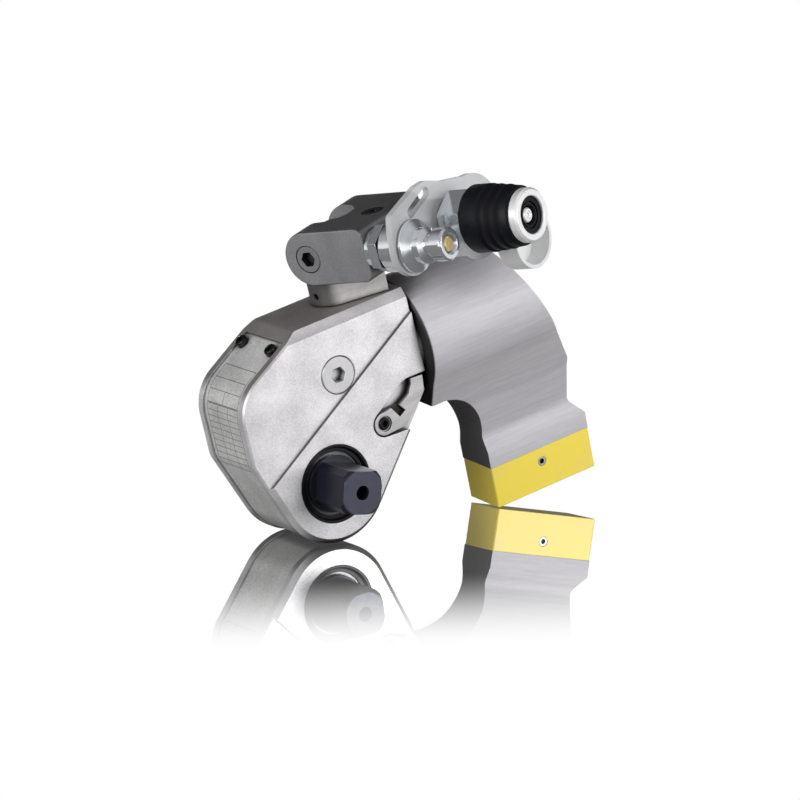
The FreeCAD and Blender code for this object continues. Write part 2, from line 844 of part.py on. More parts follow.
def on_cylinder(x):
    return Placement(Vector(x, 0, size.cylinder_level), ALONG_X)


groove = size.bore_radius - size.seal_section
piston_start = (size.piston_thickness - size.seal_height) / 2
piston_profile = [
    (size.rod_radius * 0.6 + size.seat_gap, 0.0),
    (size.bore_radius - size.running_gap, 0.0),
    (size.bore_radius - size.running_gap, piston_start),
    (groove, piston_start),
    (groove, piston_start + size.seal_height),
    (size.bore_radius - size.running_gap, piston_start + size.seal_height),
    (size.bore_radius - size.running_gap, size.piston_thickness),
    (size.rod_radius * 0.6 + size.seat_gap, size.piston_thickness),
]
turned("piston", piston_profile, on_cylinder(size.piston_rest))
seal_profile = ring_profile(groove + size.seat_gap, size.bore_radius - size.running_gap * 0.4,
                            piston_start + size.seat_gap, piston_start + size.seal_height - size.seat_gap)
turned("piston_seal", seal_profile, on_cylinder(size.piston_rest))


def piston_rod_shape():
    """Round rod with a slotted tongue for the rod pin."""
    level = size.cylinder_level
    start = crank_x + size.rod_end_radius + 0.5
    rod = cylinder(size.rod_radius, size.piston_rest - start, Vector(start, 0, level), X_AXIS)
    spigot = cylinder(size.rod_radius * 0.6, size.piston_thickness - 0.5,
                      Vector(size.piston_rest, 0, level), X_AXIS)
    rod = rod.fuse(spigot)
    tongue_half = size.rod_tongue / 2
    tongue = block(crank_x, start + 0.2, -tongue_half, tongue_half,
                   level - size.rod_radius, level + size.rod_radius)
    eye = across(size.rod_radius, tongue_half, crank_x, level)
    rod = rod.fuse([tongue.common(cylinder(size.rod_radius, 60, Vector(0, 0, level), X_AXIS)), eye])
    slot_radius = size.rod_pin_radius + size.running_gap
    rise = size.crank_radius - crank_z
    offset = size.cylinder_level - crank_z
    for lift in (-offset, rise - offset):
        rod = rod.cut(across(slot_radius, 20, crank_x, level + lift))
    slot = block(crank_x - slot_radius, crank_x + slot_radius, -20, 20, level - offset, level + rise - offset)
    return rod.cut(slot)


coded("piston_rod", piston_rod_shape())

gland_seat = size.rod_radius + size.seal_section + 1.0
gland_profile = [
    (size.rod_radius + size.running_gap, 0.0),
    (gland_seat - size.seat_gap, 0.0),
    (gland_seat - size.seat_gap, size.gland_length),
    (size.rod_radius + size.running_gap, size.gland_length),
    (size.rod_radius + size.running_gap, size.gland_length - 3.0),
    (size.rod_radius + size.seal_section, size.gland_length - 3.0),
    (size.rod_radius + size.seal_section, size.gland_length - 3.0 - size.seal_height),
    (size.rod_radius + size.running_gap, size.gland_length - 3.0 - size.seal_height),
]
turned("rod_gland", gland_profile, on_cylinder(size.bore_front - size.gland_length))
rod_seal = ring_profile(size.rod_radius + size.running_gap * 0.4, size.rod_radius + size.seal_section - 0.02,
                        size.gland_length - 3.0 - size.seal_height + 0.02, size.gland_length - 3.02)
turned("rod_seal", rod_seal, on_cylinder(size.bore_front - size.gland_length))
cap_profile = [
    (0.0, 0.0),
    (size.bore_radius - size.seat_gap, 0.0),
    (size.bore_radius - size.seat_gap, size.cap_length),
    (size.barrel_root_radius - 1.0, size.cap_length),
    (size.barrel_root_radius - 1.0, size.cap_length + size.cap_flange),
    (0.0, size.cap_length + size.cap_flange),
]
cylinder_cap = turned("cylinder_cap", cap_profile, on_cylinder(barrel_end - size.cap_length))
hex_socket(cylinder_cap, size.cap_hex, size.cap_flange + 3.0, size.cap_length + size.cap_flange)

# Release lever and holding pawl


def lever_shape():
    x = size.lever_pivot_x
    z = size.lever_pivot_z
    face = -half
    gap = size.lever_gap
    thickness = size.lever_thickness
    eye_share = size.lever_eye / 5.2
    hand_share = size.lever_hand / 23.8

    def outline(corners):
        return [(x + hand_share * a, z + eye_share * b) for a, b in corners]

    arm = slab(outline([
        (0.5, -5.2), (10.6, -4.3), (23.0, 8.0), (23.8, 14.6), (17.5, 15.0),
        (17.2, 12.5), (14.9, 8.6), (9.5, 5.5), (5.0, 5.6), (-1.5, 4.8),
    ]), face, face + thickness)
    eye = cylinder(size.lever_eye, thickness, Vector(x, face, z), Y_AXIS)
    lever = arm.fuse(eye)
    notch = slab(outline([(3.6, 7.6), (7.2, 8.4), (11.6, 2.2), (8.2, 0.4)]),
                 face - 1, face + thickness * 0.5)
    lever = lever.cut(notch)
    eye_room = cylinder(size.lever_eye, thickness + 1, Vector(x, face - 1, z), Y_AXIS)
    room = slab(lever_pocket_outline(gap), face - 1, face + thickness).fuse(eye_room)
    lever = lever.common(housing_core(half).common(room))
    sink = size.lever_screw_sink
    lever = lever.cut(cylinder(size.lever_screw_radius + sink, 1 + sink, Vector(x, face - 1, z), Y_AXIS))
    return lever.cut(cylinder(size.lever_screw_radius + size.seat_gap, 20, Vector(x, face - 5, z), Y_AXIS))


coded("release_lever", lever_shape())
lever_screw_length = half + chamber_half + size.lever_screw_seat
lever_screw_profile = [
    (0.0, 0.0),
    (size.lever_screw_radius, 0.0),
    (size.lever_screw_radius, lever_screw_length - size.lever_screw_sink),
    (size.lever_screw_radius - 0.4, lever_screw_length - 0.2),
    (size.lever_screw_radius - 0.6, lever_screw_length),
    (0.0, lever_screw_length),
]
lever_screw_floor = Vector(size.lever_pivot_x, lever_screw_length - half, size.lever_pivot_z)
lever_screw_place = Placement(lever_screw_floor, TO_DRIVE_SIDE)
lever_screw = turned("lever_screw", lever_screw_profile, lever_screw_place)
hex_socket(lever_screw, size.lever_screw_radius, 2.2, lever_screw_length)
holding_pawl_half = ratchet_half - 0.2


def holding_pawl_shape():
    """The pawl on the lever's shaft, its tip just clear of the ratchet."""
    x = size.lever_pivot_x
    z = size.lever_pivot_z
    reach = math.hypot(x, z)
    clear = size.ratchet_tip_radius + size.holding_pawl_gap
    hub = across(size.holding_pawl_hub, holding_pawl_half, x, z)
    rise = size.holding_pawl_height / 2
    tip = block(clear - 1, reach, -holding_pawl_half, holding_pawl_half, -rise, rise)
    tip.rotate(Vector(0, 0, 0), Y_AXIS, -math.degrees(math.atan2(z, x)))
    body = hub.fuse(tip).cut(across(clear, 20, 0, 0))
    return body.cut(across(size.lever_screw_radius + size.seat_gap, 20, x, z))


coded("holding_pawl", holding_pawl_shape())

# Reaction arm

level = size.cylinder_level
arm_length = size.arm_rear - size.arm_front


def arc(start, middle, end):
    return Part.Arc(*[Vector(x, 0, z) for x, z in (start, middle, end)]).toShape()


def line(start, end):
    return Part.LineSegment(Vector(start[0], 0, start[1]), Vector(end[0], 0, end[1])).toShape()


def arm_side():
    """The side outline of the arm as a solid as wide as its ring."""
    top = level + size.ring_radius
    bottom = level - size.ring_radius
    ring_end = (size.arm_front + 8.0, bottom)
    neck = (size.leg_front, size.leg_level)
    inner_middle = (size.leg_front - 3.6, bottom - 11.0)
    foot_front = (size.foot_front, size.pad_top)
    flare_front = (size.foot_front, size.foot_top)
    flare_rear = (size.foot_rear, size.foot_top)
    waist = (size.arm_waist, size.leg_level)
    back = (size.arm_rear, size.arm_knee)
    bend = (size.arm_bend, size.arm_bend_level)
    crown = (size.arm_top_rear, top + 1)
    edges = [
        line((size.arm_front, top + 1), crown),
        arc(crown, bend, back),
        line(back, waist),
        line(waist, flare_rear),
        line(flare_rear, (size.foot_rear, size.pad_top)),
        line((size.foot_rear, size.pad_top), foot_front),
        line(foot_front, flare_front),
        line(flare_front, neck),
        arc(neck, inner_middle, ring_end),
        line(ring_end, (size.arm_front, bottom)),
        line((size.arm_front, bottom), (size.arm_front, top + 1)),
    ]
    wire = Part.Wire(edges)
    face = Part.Face(wire)
    face.translate(Vector(0, -size.ring_radius - 1, 0))
    form = face.extrude(Vector(0, 2 * size.ring_radius + 2, 0))
    corners = edges_where(form, lambda edge: runs_along(edge, Y_AXIS) and min(
        math.hypot(edge.Vertexes[0].X - x, edge.Vertexes[0].Z - z) for x, z in (back, waist)) < 0.01)
    return form.makeFillet(size.arm_corner_round, corners)


def arm_front_form():
    """Ring and tapering leg seen along the cylinder, drawn out along X."""
    foot_half = size.pad_width / 2
    radius = size.ring_radius
    touch = size.leg_touch
    start = (radius * degrees_cos(touch), level - radius * degrees_sin(touch))
    shin = (size.leg_half_thickness + size.shin_flare, level - radius - size.shin_drop)
    ankle = (size.leg_half_thickness, size.leg_level)
    heel = (foot_half, size.foot_top)
    half_outline = [start, shin, ankle, heel, (foot_half, size.pad_top)]
    points = [Vector(size.arm_front, -y, z) for y, z in half_outline]
    points += [Vector(size.arm_front, y, z) for y, z in reversed(half_outline)]
    leg = Part.Face(Part.makePolygon(points + points[:1])).extrude(Vector(arm_length + 10, 0, 0))
    ring = cylinder(radius, arm_length + 10, Vector(size.arm_front, 0, level), X_AXIS)
    form = ring.fuse(leg).removeSplitter()
    bends = edges_where(form, lambda edge: runs_along(edge, X_AXIS)
                        and min(abs(edge.Vertexes[0].Z - shin[1]), abs(edge.Vertexes[0].Z - ankle[1])) < 0.01)
    return form.makeFillet(size.shin_drop, bends)


def arm_bore():
    clearance = size.running_gap
    root = size.barrel_root_radius + clearance
    tip = root + size.spline_depth
    start = Vector(size.arm_front - 1, 0, level)
    bore = cylinder(root, arm_length + 20, start, X_AXIS)
    front = cylinder(tip + 0.3, size.spline_front - size.arm_front + 1, start, X_AXIS)
    teeth = toothed(size.spline_count, tip + clearance, root - 0.2, 0.5)
    grooves = toothed_bar(teeth, Vector(size.spline_front - 1, 0, level), X_AXIS, arm_length + 20)
    return bore.fuse([front, grooves])


tongue_inset = size.pad_wall
tongue_bottom = size.pad_top - size.pad_tongue_height


def pad_tongue(gap):
    """The tongue under the foot that the pad slips over."""
    inset = tongue_inset - gap
    side = size.pad_width / 2 - tongue_inset + gap
    return block(size.foot_front + inset, size.foot_rear - inset, -side, side,
                 tongue_bottom - gap, size.pad_top + 0.1)


pad_screw_x = (size.foot_front + size.foot_rear) / 2
pad_screw_z = size.pad_top - size.pad_tongue_height * 0.72


def reaction_arm_shape():
    arm = arm_side().common(arm_front_form())
    front_rim = edges_where(arm, lambda edge: edge.BoundBox.XMax < size.arm_front + 1e-4)
    arm = arm.makeFillet(size.arm_front_round, front_rim)
    arm = arm.cut(arm_bore())
    arm = arm.fuse(pad_tongue(0.0))
    lock = cylinder(size.lock_screw_radius + size.seat_gap, 20,
                    Vector(size.lock_screw_x, size.barrel_root_radius + 0.5, level), Y_AXIS)
    return arm.cut(lock)


coded("reaction_arm", reaction_arm_shape(), ROLL)


def reaction_pad_shape():
    side = size.pad_width / 2
    pad = block(size.foot_front, size.foot_rear, -side, side, pad_floor, size.pad_top)
    upright = edges_where(pad, lambda edge: runs_along(edge, Z_AXIS))
    pad = pad.makeFillet(0.8, upright)
    pad = pad.cut(pad_tongue(size.seat_gap * 2))
    hole = cylinder(size.pad_screw_radius + size.seat_gap, tongue_inset + 1,
                    Vector(pad_screw_x, -side - 1, pad_screw_z), Y_AXIS)
    return pad.cut(hole)


coded("reaction_pad", reaction_pad_shape(), ROLL)


def grub_screw(label, radius, length, frame):
    """A socket set screw, its open end at the top of its own axis."""
    body = turned(label, [
        (0.0, 0.0),
        (radius - 0.5, 0.0),
        (radius, 0.5),
        (radius, length - 0.2),
        (radius - 0.2, length),
        (0.0, length),
    ], frame)
    hex_socket(body, radius * 1.05, length * 0.45, length)
    return body


pad_screw_floor = Vector(pad_screw_x, -size.pad_width / 2 + tongue_inset - 0.05, pad_screw_z)
grub_screw("pad_screw", size.pad_screw_radius, tongue_inset - 0.2,
           ROLL.multiply(Placement(pad_screw_floor, TO_DRIVE_SIDE)))
lock_seat = size.barrel_root_radius + size.spline_depth + 0.4
grub_screw("arm_lock_screw", size.lock_screw_radius, size.ring_radius - lock_seat - 0.8,
           ROLL.multiply(Placement(Vector(size.lock_screw_x, lock_seat, level), TO_FAR_SIDE)))

# Hose swivel

swivel_axis = Vector(size.swivel_x, 0, 0)
base_top = size.housing_top + size.base_height


def swivel_base_shape():
    """Oblong base, round stem below it and a ball head above it in one forging."""
    wide = size.base_half_width
    floor = size.housing_top + size.base_gap
    round_centre = wide - size.base_round_end
    base = block(round_centre, size.base_square_end, -wide, wide, floor, base_top)
    round_end = cylinder(wide, base_top - floor, Vector(round_centre, 0, floor), Z_AXIS)
    base = base.fuse(round_end).removeSplitter()
    top_rim = edges_where(base, lambda edge: abs(edge.BoundBox.ZMin - base_top) < 1e-6)
    base = base.makeFillet(0.8, top_rim)
    base.rotate(Vector(0, 0, 0), Z_AXIS, size.base_turn)
    stem_floor = size.housing_top - size.post_depth + 0.4
    stem = cylinder(size.post_radius, size.post_depth, Vector(0, 0, stem_floor), Z_AXIS)
    neck = cylinder(size.neck_radius, size.pin_level - base_top, Vector(0, 0, base_top), Z_AXIS)
    ball = Part.makeSphere(size.head_radius, Vector(0, 0, size.pin_level))
    flat = block(-20, 20, -20, 20, size.pin_level + size.head_flat, size.pin_level + 30)
    body = base.fuse([stem, neck]).fuse(ball).cut(flat)
    for lift in (2.0, 5.6):
        ring_floor = stem_floor + lift
        outer = cylinder(size.post_radius + 1, size.seal_height, Vector(0, 0, ring_floor), Z_AXIS)
        inner = cylinder(size.post_radius - 1.6, size.seal_height, Vector(0, 0, ring_floor), Z_AXIS)
        body = body.cut(outer.cut(inner))
    body.translate(swivel_axis)
    pin = cylinder(size.pin_radius + size.running_gap, 60, Vector(0, -30, 0), Y_AXIS)
    pin.Placement = YOKE.multiply(pin.Placement)
    body = body.cut(pin)
    depth = size.base_half_width * 0.55
    screw = cylinder(size.base_screw_radius + size.seat_gap, depth + 1,
                     base_screw_seat() - base_screw_axis() * depth, base_screw_axis())
    return body.cut(screw)


def base_screw_axis():
    """The set screw looks out of the round end of the base."""
    turn = math.radians(180 + size.base_turn + size.base_screw_turn)
    return Vector(math.cos(turn), math.sin(turn), 0)


def base_screw_seat():
    """Middle of the set screw hole on the round end."""
    along = math.radians(size.base_turn)
    round_centre = size.base_half_width - size.base_round_end
    centre = swivel_axis + Vector(math.cos(along), math.sin(along), 0) * round_centre
    centre.z = size.housing_top + size.base_height * 0.4
    return centre + base_screw_axis() * size.base_half_width


coded("swivel_base", swivel_base_shape())
stem_floor = size.housing_top - size.post_depth + 0.4


def stem_seals():
    rings = []
    for lift in (2.0, 5.6):
        tube = cylinder(size.post_radius + size.running_gap * 0.6, size.seal_height - 0.04,
                        Vector(size.swivel_x, 0, stem_floor + lift + 0.02), Z_AXIS)
        hole = cylinder(size.post_radius - 1.58, size.seal_height,
                        Vector(size.swivel_x, 0, stem_floor + lift), Z_AXIS)
        rings.append(tube.cut(hole))
    return Part.makeCompound(rings)


coded("stem_seals", stem_seals())
screw_turn = Rotation(Z_AXIS, base_screw_axis())
grub_screw("base_screw", size.base_screw_radius, size.base_half_width * 0.4,
           Placement(base_screw_seat() - base_screw_axis() * size.base_half_width * 0.5, screw_turn))


def yoke_shape():
    """Block with a round open end, a slot for the ball head and two ports."""
    tall = size.yoke_half_height
    wide = size.yoke_half_width
    body = block(0, size.yoke_length, -wide, wide, -tall, tall)
    ends = edges_where(body, lambda edge: runs_along(edge, Y_AXIS) and edge.Vertexes[0].X > 1)
    body = body.makeFillet(size.yoke_corner, ends)
    body = body.fuse(across(tall, wide, 0, 0)).removeSplitter()
    ends_of_block = [face for face in body.Faces if abs(abs(face.CenterOfMass.y) - wide) < 1e-6]
    sides = [edge for face in ends_of_block for edge in face.Edges]
    body = body.makeFillet(size.yoke_edge, sides)
    slot = size.head_radius + size.loose_gap
    body = body.cut(cylinder(slot, 60, Vector(0, 0, -30), Z_AXIS))
    body = body.cut(block(-40, 0, -slot, slot, -30, 30))
    body = body.cut(cylinder(size.pin_radius + size.seat_gap, 60, Vector(0, -wide + 1, 0), Y_AXIS)
                    .common(block(-10, 10, -wide + 1, wide - 4, -10, 10)))
    body = body.cut(cylinder(size.pin_head_radius + size.seat_gap, size.pin_head_length + 1,
                             Vector(0, -wide - 1, 0), Y_AXIS))
    for side in (-1, 1):
        port = Vector(size.yoke_length - size.port_depth, side * size.coupling_spacing / 2, 0)
        body = body.cut(cylinder(size.port_radius + size.seat_gap, size.port_depth + 1, port, X_AXIS))
    body = body.cut(cylinder(size.yoke_plug_radius + size.seat_gap, 4.0,
                             Vector(size.yoke_plug_reach, 0, tall - 3.0), Z_AXIS))
    return body


coded("swivel_yoke", yoke_shape(), YOKE)
pin_length = 2 * size.yoke_half_width - 4.5
pin_profile = [
    (0.0, 0.0),
    (size.pin_radius - 0.5, 0.0),
    (size.pin_radius, 0.5),
    (size.pin_radius, pin_length - size.pin_head_length),
    (size.pin_head_radius, pin_length - size.pin_head_length),
    (size.pin_head_radius, pin_length - 0.5),
    (size.pin_head_radius - 0.5, pin_length),
    (0.0, pin_length),
]
pin_place = Placement(Vector(0, pin_length - size.yoke_half_width, 0), TO_DRIVE_SIDE)
pivot_pin = turned("pivot_pin", pin_profile, YOKE.multiply(pin_place))
hex_socket(pivot_pin, size.pin_head_radius, 4.0, pin_length)
plug_place = Placement(Vector(size.yoke_plug_reach, 0, size.yoke_half_height - 3.0), Rotation())
yoke_plug = turned("yoke_plug", rod_profile(size.yoke_plug_radius, 0.0, 2.9), YOKE.multiply(plug_place))
hex_socket(yoke_plug, 3.0, 2.0, size.yoke_plug_radius * 0.58)

# Couplings: their own axes run along the yoke, from the pivot outwards


def on_coupling(side, reach=0.0):
    spot = Placement(Vector(reach, side * size.coupling_spacing / 2, 0), ALONG_X)
    return YOKE.multiply(spot)


NIPPLE = -1
SOCKET = 1
plate_front = size.holder_reach + size.holder_thickness
nipple_collar_end = size.holder_reach - 4 * size.running_gap
nipple_flange_end = plate_front + size.nipple_flange_length
nipple_end = nipple_flange_end + size.nipple_plug_length
coupler_hex_start = plate_front + size.coupler_hex_gap
coupler_hex_end = coupler_hex_start + size.coupler_hex_length
grip_rear = coupler_hex_end + size.grip_gap
grip_front = grip_rear + size.grip_length
coupler_end = grip_front + size.sleeve_nose
cap_reach = plate_front + size.cap_stand_off
stub_start = size.yoke_length - size.port_depth + 0.3
face_reach = size.yoke_length + 0.02
washer_end = size.yoke_length + 3.0
adapter_hex = size.nipple_hex
adapter_profile = [
    (size.nipple_bore, stub_start),
    (size.port_radius, stub_start),
    (size.port_radius, face_reach),
    (adapter_hex * 0.47, face_reach),
    (adapter_hex * 0.47, washer_end),
    (adapter_hex * 0.47, size.nipple_hex_end),
    (size.nipple_bore, size.nipple_hex_end),
]
nipple_adapter = turned("nipple_adapter", adapter_profile, on_coupling(NIPPLE))
add_prism(nipple_adapter, "AdditivePrism", adapter_hex, size.nipple_hex_end - washer_end - 0.6, washer_end)
passage_hex = size.nipple_bore * 1.7
add_prism(nipple_adapter, "SubtractivePrism", passage_hex, size.nipple_hex_end - stub_start, stub_start)

ring_start = size.holder_reach - 0.05
ring_end = size.holder_reach + size.holder_thickness + 0.05
holder_seat = size.nipple_neck_radius + 0.6
nipple_profile = [
    (size.nipple_bore, size.nipple_hex_end + 0.02),
    (size.nipple_collar_radius - 0.8, size.nipple_hex_end + 0.02),
    (size.nipple_collar_radius, size.nipple_hex_end + 1.0),
    (size.nipple_collar_radius, nipple_collar_end),
    (holder_seat, nipple_collar_end),
    (holder_seat, ring_end),
    (size.nipple_flange_radius - 0.6, ring_end),
    (size.nipple_flange_radius, ring_end + 0.8),
    (size.nipple_flange_radius, nipple_flange_end - 1.0),
    (size.nipple_neck_radius + 1.4, nipple_flange_end + 0.8),
    (size.nipple_neck_radius, nipple_flange_end + 2.2),
    (size.nipple_neck_radius, nipple_end - 12.0),
    (size.nipple_tip_radius - 1.9, nipple_end - 10.2),
    (size.nipple_tip_radius - 1.9, nipple_end - 7.6),
    (size.nipple_tip_radius, nipple_end - 6.4),
    (size.nipple_tip_radius, nipple_end - 1.0),
    (size.nipple_tip_radius - 0.8, nipple_end),
    (size.nipple_bore + 1.2, nipple_end),
    (size.nipple_bore, nipple_end - 1.4),
]
turned("nipple_body", nipple_profile, on_coupling(NIPPLE))
poppet_radius = size.nipple_bore - size.running_gap
poppet_profile = [
    (0.0, 0.0),
    (poppet_radius - 1.4, 0.0),
    (poppet_radius - 1.4, 9.0),
    (poppet_radius, 9.0),
    (poppet_radius, 14.4),
    (poppet_radius - 0.8, 15.2),
    (0.0, 15.2),
]
turned("nipple_poppet", poppet_profile, on_coupling(NIPPLE, nipple_end - 15.8))
nipple_spring = ring_profile(poppet_radius - 1.3, poppet_radius - 0.3, 0.0, 9.0 - size.poppet_travel - 0.2)
turned("nipple_spring", nipple_spring, on_coupling(NIPPLE, nipple_end - 15.8))

neck = size.coupler_neck_radius
coupler_adapter_profile = [
    (size.nipple_bore, stub_start),
    (size.port_radius, stub_start),
    (size.port_radius, face_reach),
    (neck, face_reach),
    (neck, coupler_hex_start),
    (size.coupler_hex * 0.48, coupler_hex_start),
    (size.coupler_hex * 0.48, coupler_hex_end),
    (size.nipple_bore, coupler_hex_end),
]
coupler_adapter = turned("coupler_adapter", coupler_adapter_profile, on_coupling(SOCKET))
hex_length = size.coupler_hex_length - 0.6
add_prism(coupler_adapter, "AdditivePrism", size.coupler_hex, hex_length, coupler_hex_start)
add_prism(coupler_adapter, "AdditivePrism", neck * 1.9, 7.0, size.yoke_length + 3.0)
add_prism(coupler_adapter, "SubtractivePrism", passage_hex, coupler_hex_end - stub_start, stub_start)

body_radius = size.coupler_body_radius
lip_floor = coupler_end - size.sleeve_lip
body_step = lip_floor - size.sleeve_travel - size.loose_gap
seal_front = coupler_end - size.coupler_seal_drop
seal_flange = 0.9
body_front = seal_front - seal_flange - size.seat_gap
seal_floor = seal_front - size.coupler_seal_length
guide = size.coupler_poppet_radius + size.running_gap
coupler_profile = [
    (guide, coupler_hex_end + 0.02),
    (body_radius, coupler_hex_end + 0.02),
    (body_radius, body_step),
    (size.coupler_front_radius, body_step),
    (size.coupler_front_radius, body_front),
    (size.coupler_seal_radius + size.seat_gap, body_front),
    (size.coupler_seal_radius + size.seat_gap, seal_floor - size.seat_gap),
    (guide, seal_floor - size.seat_gap),
]
turned("coupler_body", coupler_profile, on_coupling(SOCKET))
seal_bore = size.coupler_seal_bore
seal_profile = [
    (seal_bore, seal_floor),
    (size.coupler_seal_radius, seal_floor),
    (size.coupler_seal_radius, seal_front - seal_flange),
    (size.coupler_front_radius - size.running_gap, seal_front - seal_flange),
    (size.coupler_front_radius - size.running_gap, seal_front),
    (seal_bore + 2.1, seal_front),
    (seal_bore + 1.8, seal_front - 1.0),
    (seal_bore + 1.3, seal_front - 1.0),
    (seal_bore + 1.2, seal_front - 0.2),
    (seal_bore + 0.5, seal_front - 0.2),
    (seal_bore + 0.3, seal_front - 1.2),
    (seal_bore, seal_front - 1.2),
]
turned("coupler_seal", seal_profile, on_coupling(SOCKET))
tail_radius = size.coupler_poppet_radius - 1.0
tail = size.coupler_poppet_tail
poppet_length = tail + size.coupler_poppet_head + 0.6
coupler_poppet_profile = [
    (0.0, 0.0),
    (tail_radius, 0.0),
    (tail_radius, tail),
    (size.coupler_poppet_radius, tail),
    (size.coupler_poppet_radius, poppet_length - 0.6),
    (size.coupler_poppet_radius - 0.6, poppet_length),
    (tail_radius - 0.3, poppet_length),
    (tail_radius - 0.6, poppet_length - 0.3),
    (tail_radius - 1.2, poppet_length - 0.3),
    (tail_radius - 1.5, poppet_length - 0.7),
    (0.0, poppet_length - 0.7),
]
poppet_start = coupler_end - size.coupler_poppet_drop - poppet_length
turned("coupler_poppet", coupler_poppet_profile, on_coupling(SOCKET, poppet_start))
coupler_spring = ring_profile(tail_radius + 0.1, size.coupler_poppet_radius - 0.1, 0.0,
                              tail - size.poppet_travel - 0.2)
turned("coupler_spring", coupler_spring, on_coupling(SOCKET, poppet_start))

sleeve_bore = body_radius + size.running_gap
lip_bore = size.coupler_front_radius + size.running_gap
sleeve_profile = [
    (sleeve_bore, grip_rear + size.sleeve_travel + 1.0),
    (size.sleeve_radius - 0.4, grip_rear + size.sleeve_travel + 1.0),
    (size.sleeve_radius - 0.4, grip_front - 0.6),
    (size.sleeve_radius, grip_front),
    (size.sleeve_radius, coupler_end - 1.0),
    (size.sleeve_radius - 1.0, coupler_end),
    (lip_bore + 0.4, coupler_end),
    (lip_bore, coupler_end - 0.4),
    (lip_bore, lip_floor),
    (sleeve_bore, lip_floor),
]
turned("locking_sleeve", sleeve_profile, on_coupling(SOCKET))


def grip_outline():
    """Rubber grip with round ribs and a nose that narrows to the sleeve."""
    inner = size.sleeve_radius - 0.4 + size.seat_gap
    counterbore = size.coupler_hex / math.sqrt(3) + 0.25
    shoulder = grip_rear + size.sleeve_travel + 1.0
    points = [(counterbore, grip_rear), (size.grip_radius - 0.4, grip_rear),
              (size.grip_radius, grip_rear + 0.6)]
    first_rib = grip_rear + 9.0
    pitch = (grip_front - 2.5 - first_rib) / size.grip_ribs
    for rib in range(int(size.grip_ribs)):
        start = first_rib + pitch * rib
        drop = 0.5 * (rib + 1)
        points.append((size.grip_radius - 0.45 * rib, start))
        points.append((size.grip_radius - drop - 0.35, start + pitch * 0.25))
        points.append((size.grip_radius - drop, start + pitch * 0.6))
    points += [(size.sleeve_radius + 1.2, grip_front - 1.6), (size.sleeve_radius + 0.6, grip_front - 0.7),
               (inner, grip_front - 0.7), (inner, shoulder), (counterbore, shoulder)]
    return points


turned("sleeve_grip", grip_outline(), on_coupling(SOCKET))

# Plastic holder plate and dust cap


def holder_shape():
    """Flat plate round both couplings with a finger slot."""
    start = size.holder_reach
    thick = size.holder_thickness
    nipple_y = -size.coupling_spacing / 2
    socket_y = size.coupling_spacing / 2
    disc_centre = Vector(start, size.holder_disc_side, -size.holder_disc_drop)
    disc = cylinder(size.holder_disc_radius, thick, disc_centre, X_AXIS)
    ring = cylinder(size.holder_ring_radius, thick, Vector(start, nipple_y, 0), X_AXIS)
    corners = [
        (nipple_y - size.holder_ring_radius, 0),
        (nipple_y - size.holder_ring_radius + 2.0, 11.0),
        (nipple_y - 8.4, 17.2),
        (-2.1, 22.4),
        (5.5, 22.4),
        (socket_y + 1.5, 18.0),
        (size.holder_disc_side, size.holder_disc_radius - size.holder_disc_drop),
        (size.holder_disc_side, -size.holder_disc_radius - size.holder_disc_drop + 2),
        (nipple_y, -8),
    ]
    points = [Vector(start, y, z) for y, z in corners]
    web = Part.Face(Part.makePolygon(points + points[:1])).extrude(Vector(thick, 0, 0))
    plate = disc.fuse([ring, web]).removeSplitter()
    rims = edges_where(plate, lambda edge: runs_along(edge, X_AXIS) and edge.Vertexes[0].Z > 12
                       and edge.Vertexes[0].Y < 12)
    plate = plate.makeFillet(2.5, rims)
    plate = plate.cut(cylinder(size.nipple_neck_radius + 0.7, 20, Vector(start - 5, nipple_y, 0), X_AXIS))
    plate = plate.cut(cylinder(size.coupler_neck_radius + 0.1, 20, Vector(start - 5, socket_y, 0), X_AXIS))
    slot_ends = [Vector(start - 5, -10.0, 13.6), Vector(start - 5, 3.6, 17.8)]
    slot_axis = slot_ends[1] - slot_ends[0]
    across_slot = X_AXIS.cross(slot_axis).normalize() * 2.4
    slot_points = [slot_ends[0] + across_slot, slot_ends[1] + across_slot,
                   slot_ends[1] - across_slot, slot_ends[0] - across_slot]
    slot = Part.Face(Part.makePolygon(slot_points + slot_points[:1])).extrude(Vector(20, 0, 0))
    for end in slot_ends:
        slot = slot.fuse(cylinder(2.4, 20, end, X_AXIS))
    plate = plate.cut(slot)
    return plate


coded("dust_cap_holder", holder_shape(), YOKE)


def dust_cap_shape():
    """A round cup on a stem behind the grip, its mouth towards the coupling's open end."""
    plate_face = size.holder_reach + size.holder_thickness
    root = Vector(plate_face, size.cap_side, -size.cap_drop)
    centre = Vector(cap_reach, size.cap_side, -size.cap_drop)
    cup = cylinder(size.cap_radius, size.cap_depth, centre, X_AXIS)
    closed_rim = edges_where(cup, lambda edge: edge.Closed and (edge.CenterOfMass - centre).Length < 0.01)
    cup = cup.makeFillet(1.0, closed_rim)
    stem = cylinder(size.cap_stem_radius, cap_reach - plate_face + 0.5, root, X_AXIS)
    inside = size.cap_radius - size.cap_shell
    hollow = cylinder(inside, size.cap_depth, centre + X_AXIS * size.cap_shell, X_AXIS)
    return cup.fuse(stem).cut(hollow)


coded("dust_cap", dust_cap_shape(), YOKE)

# Check and write every sub-part

doc.recompute()
for item in doc.Objects:
    if "Invalid" in item.State or "Error" in item.State:
        raise RuntimeError("%s is not built: %s" % (item.Label, item.State))

os.makedirs("parts", exist_ok=True)
for item in pieces:
    shape = item.Shape
    if shape.isNull() or not shape.isValid() or not shape.Solids:
        raise RuntimeError("%s has no valid solid" % item.Label)
    shape.exportStep(os.path.join("parts", item.Label + ".step"))
print("lean %.3f degrees, %d sub-parts" % (lean, len(pieces)))
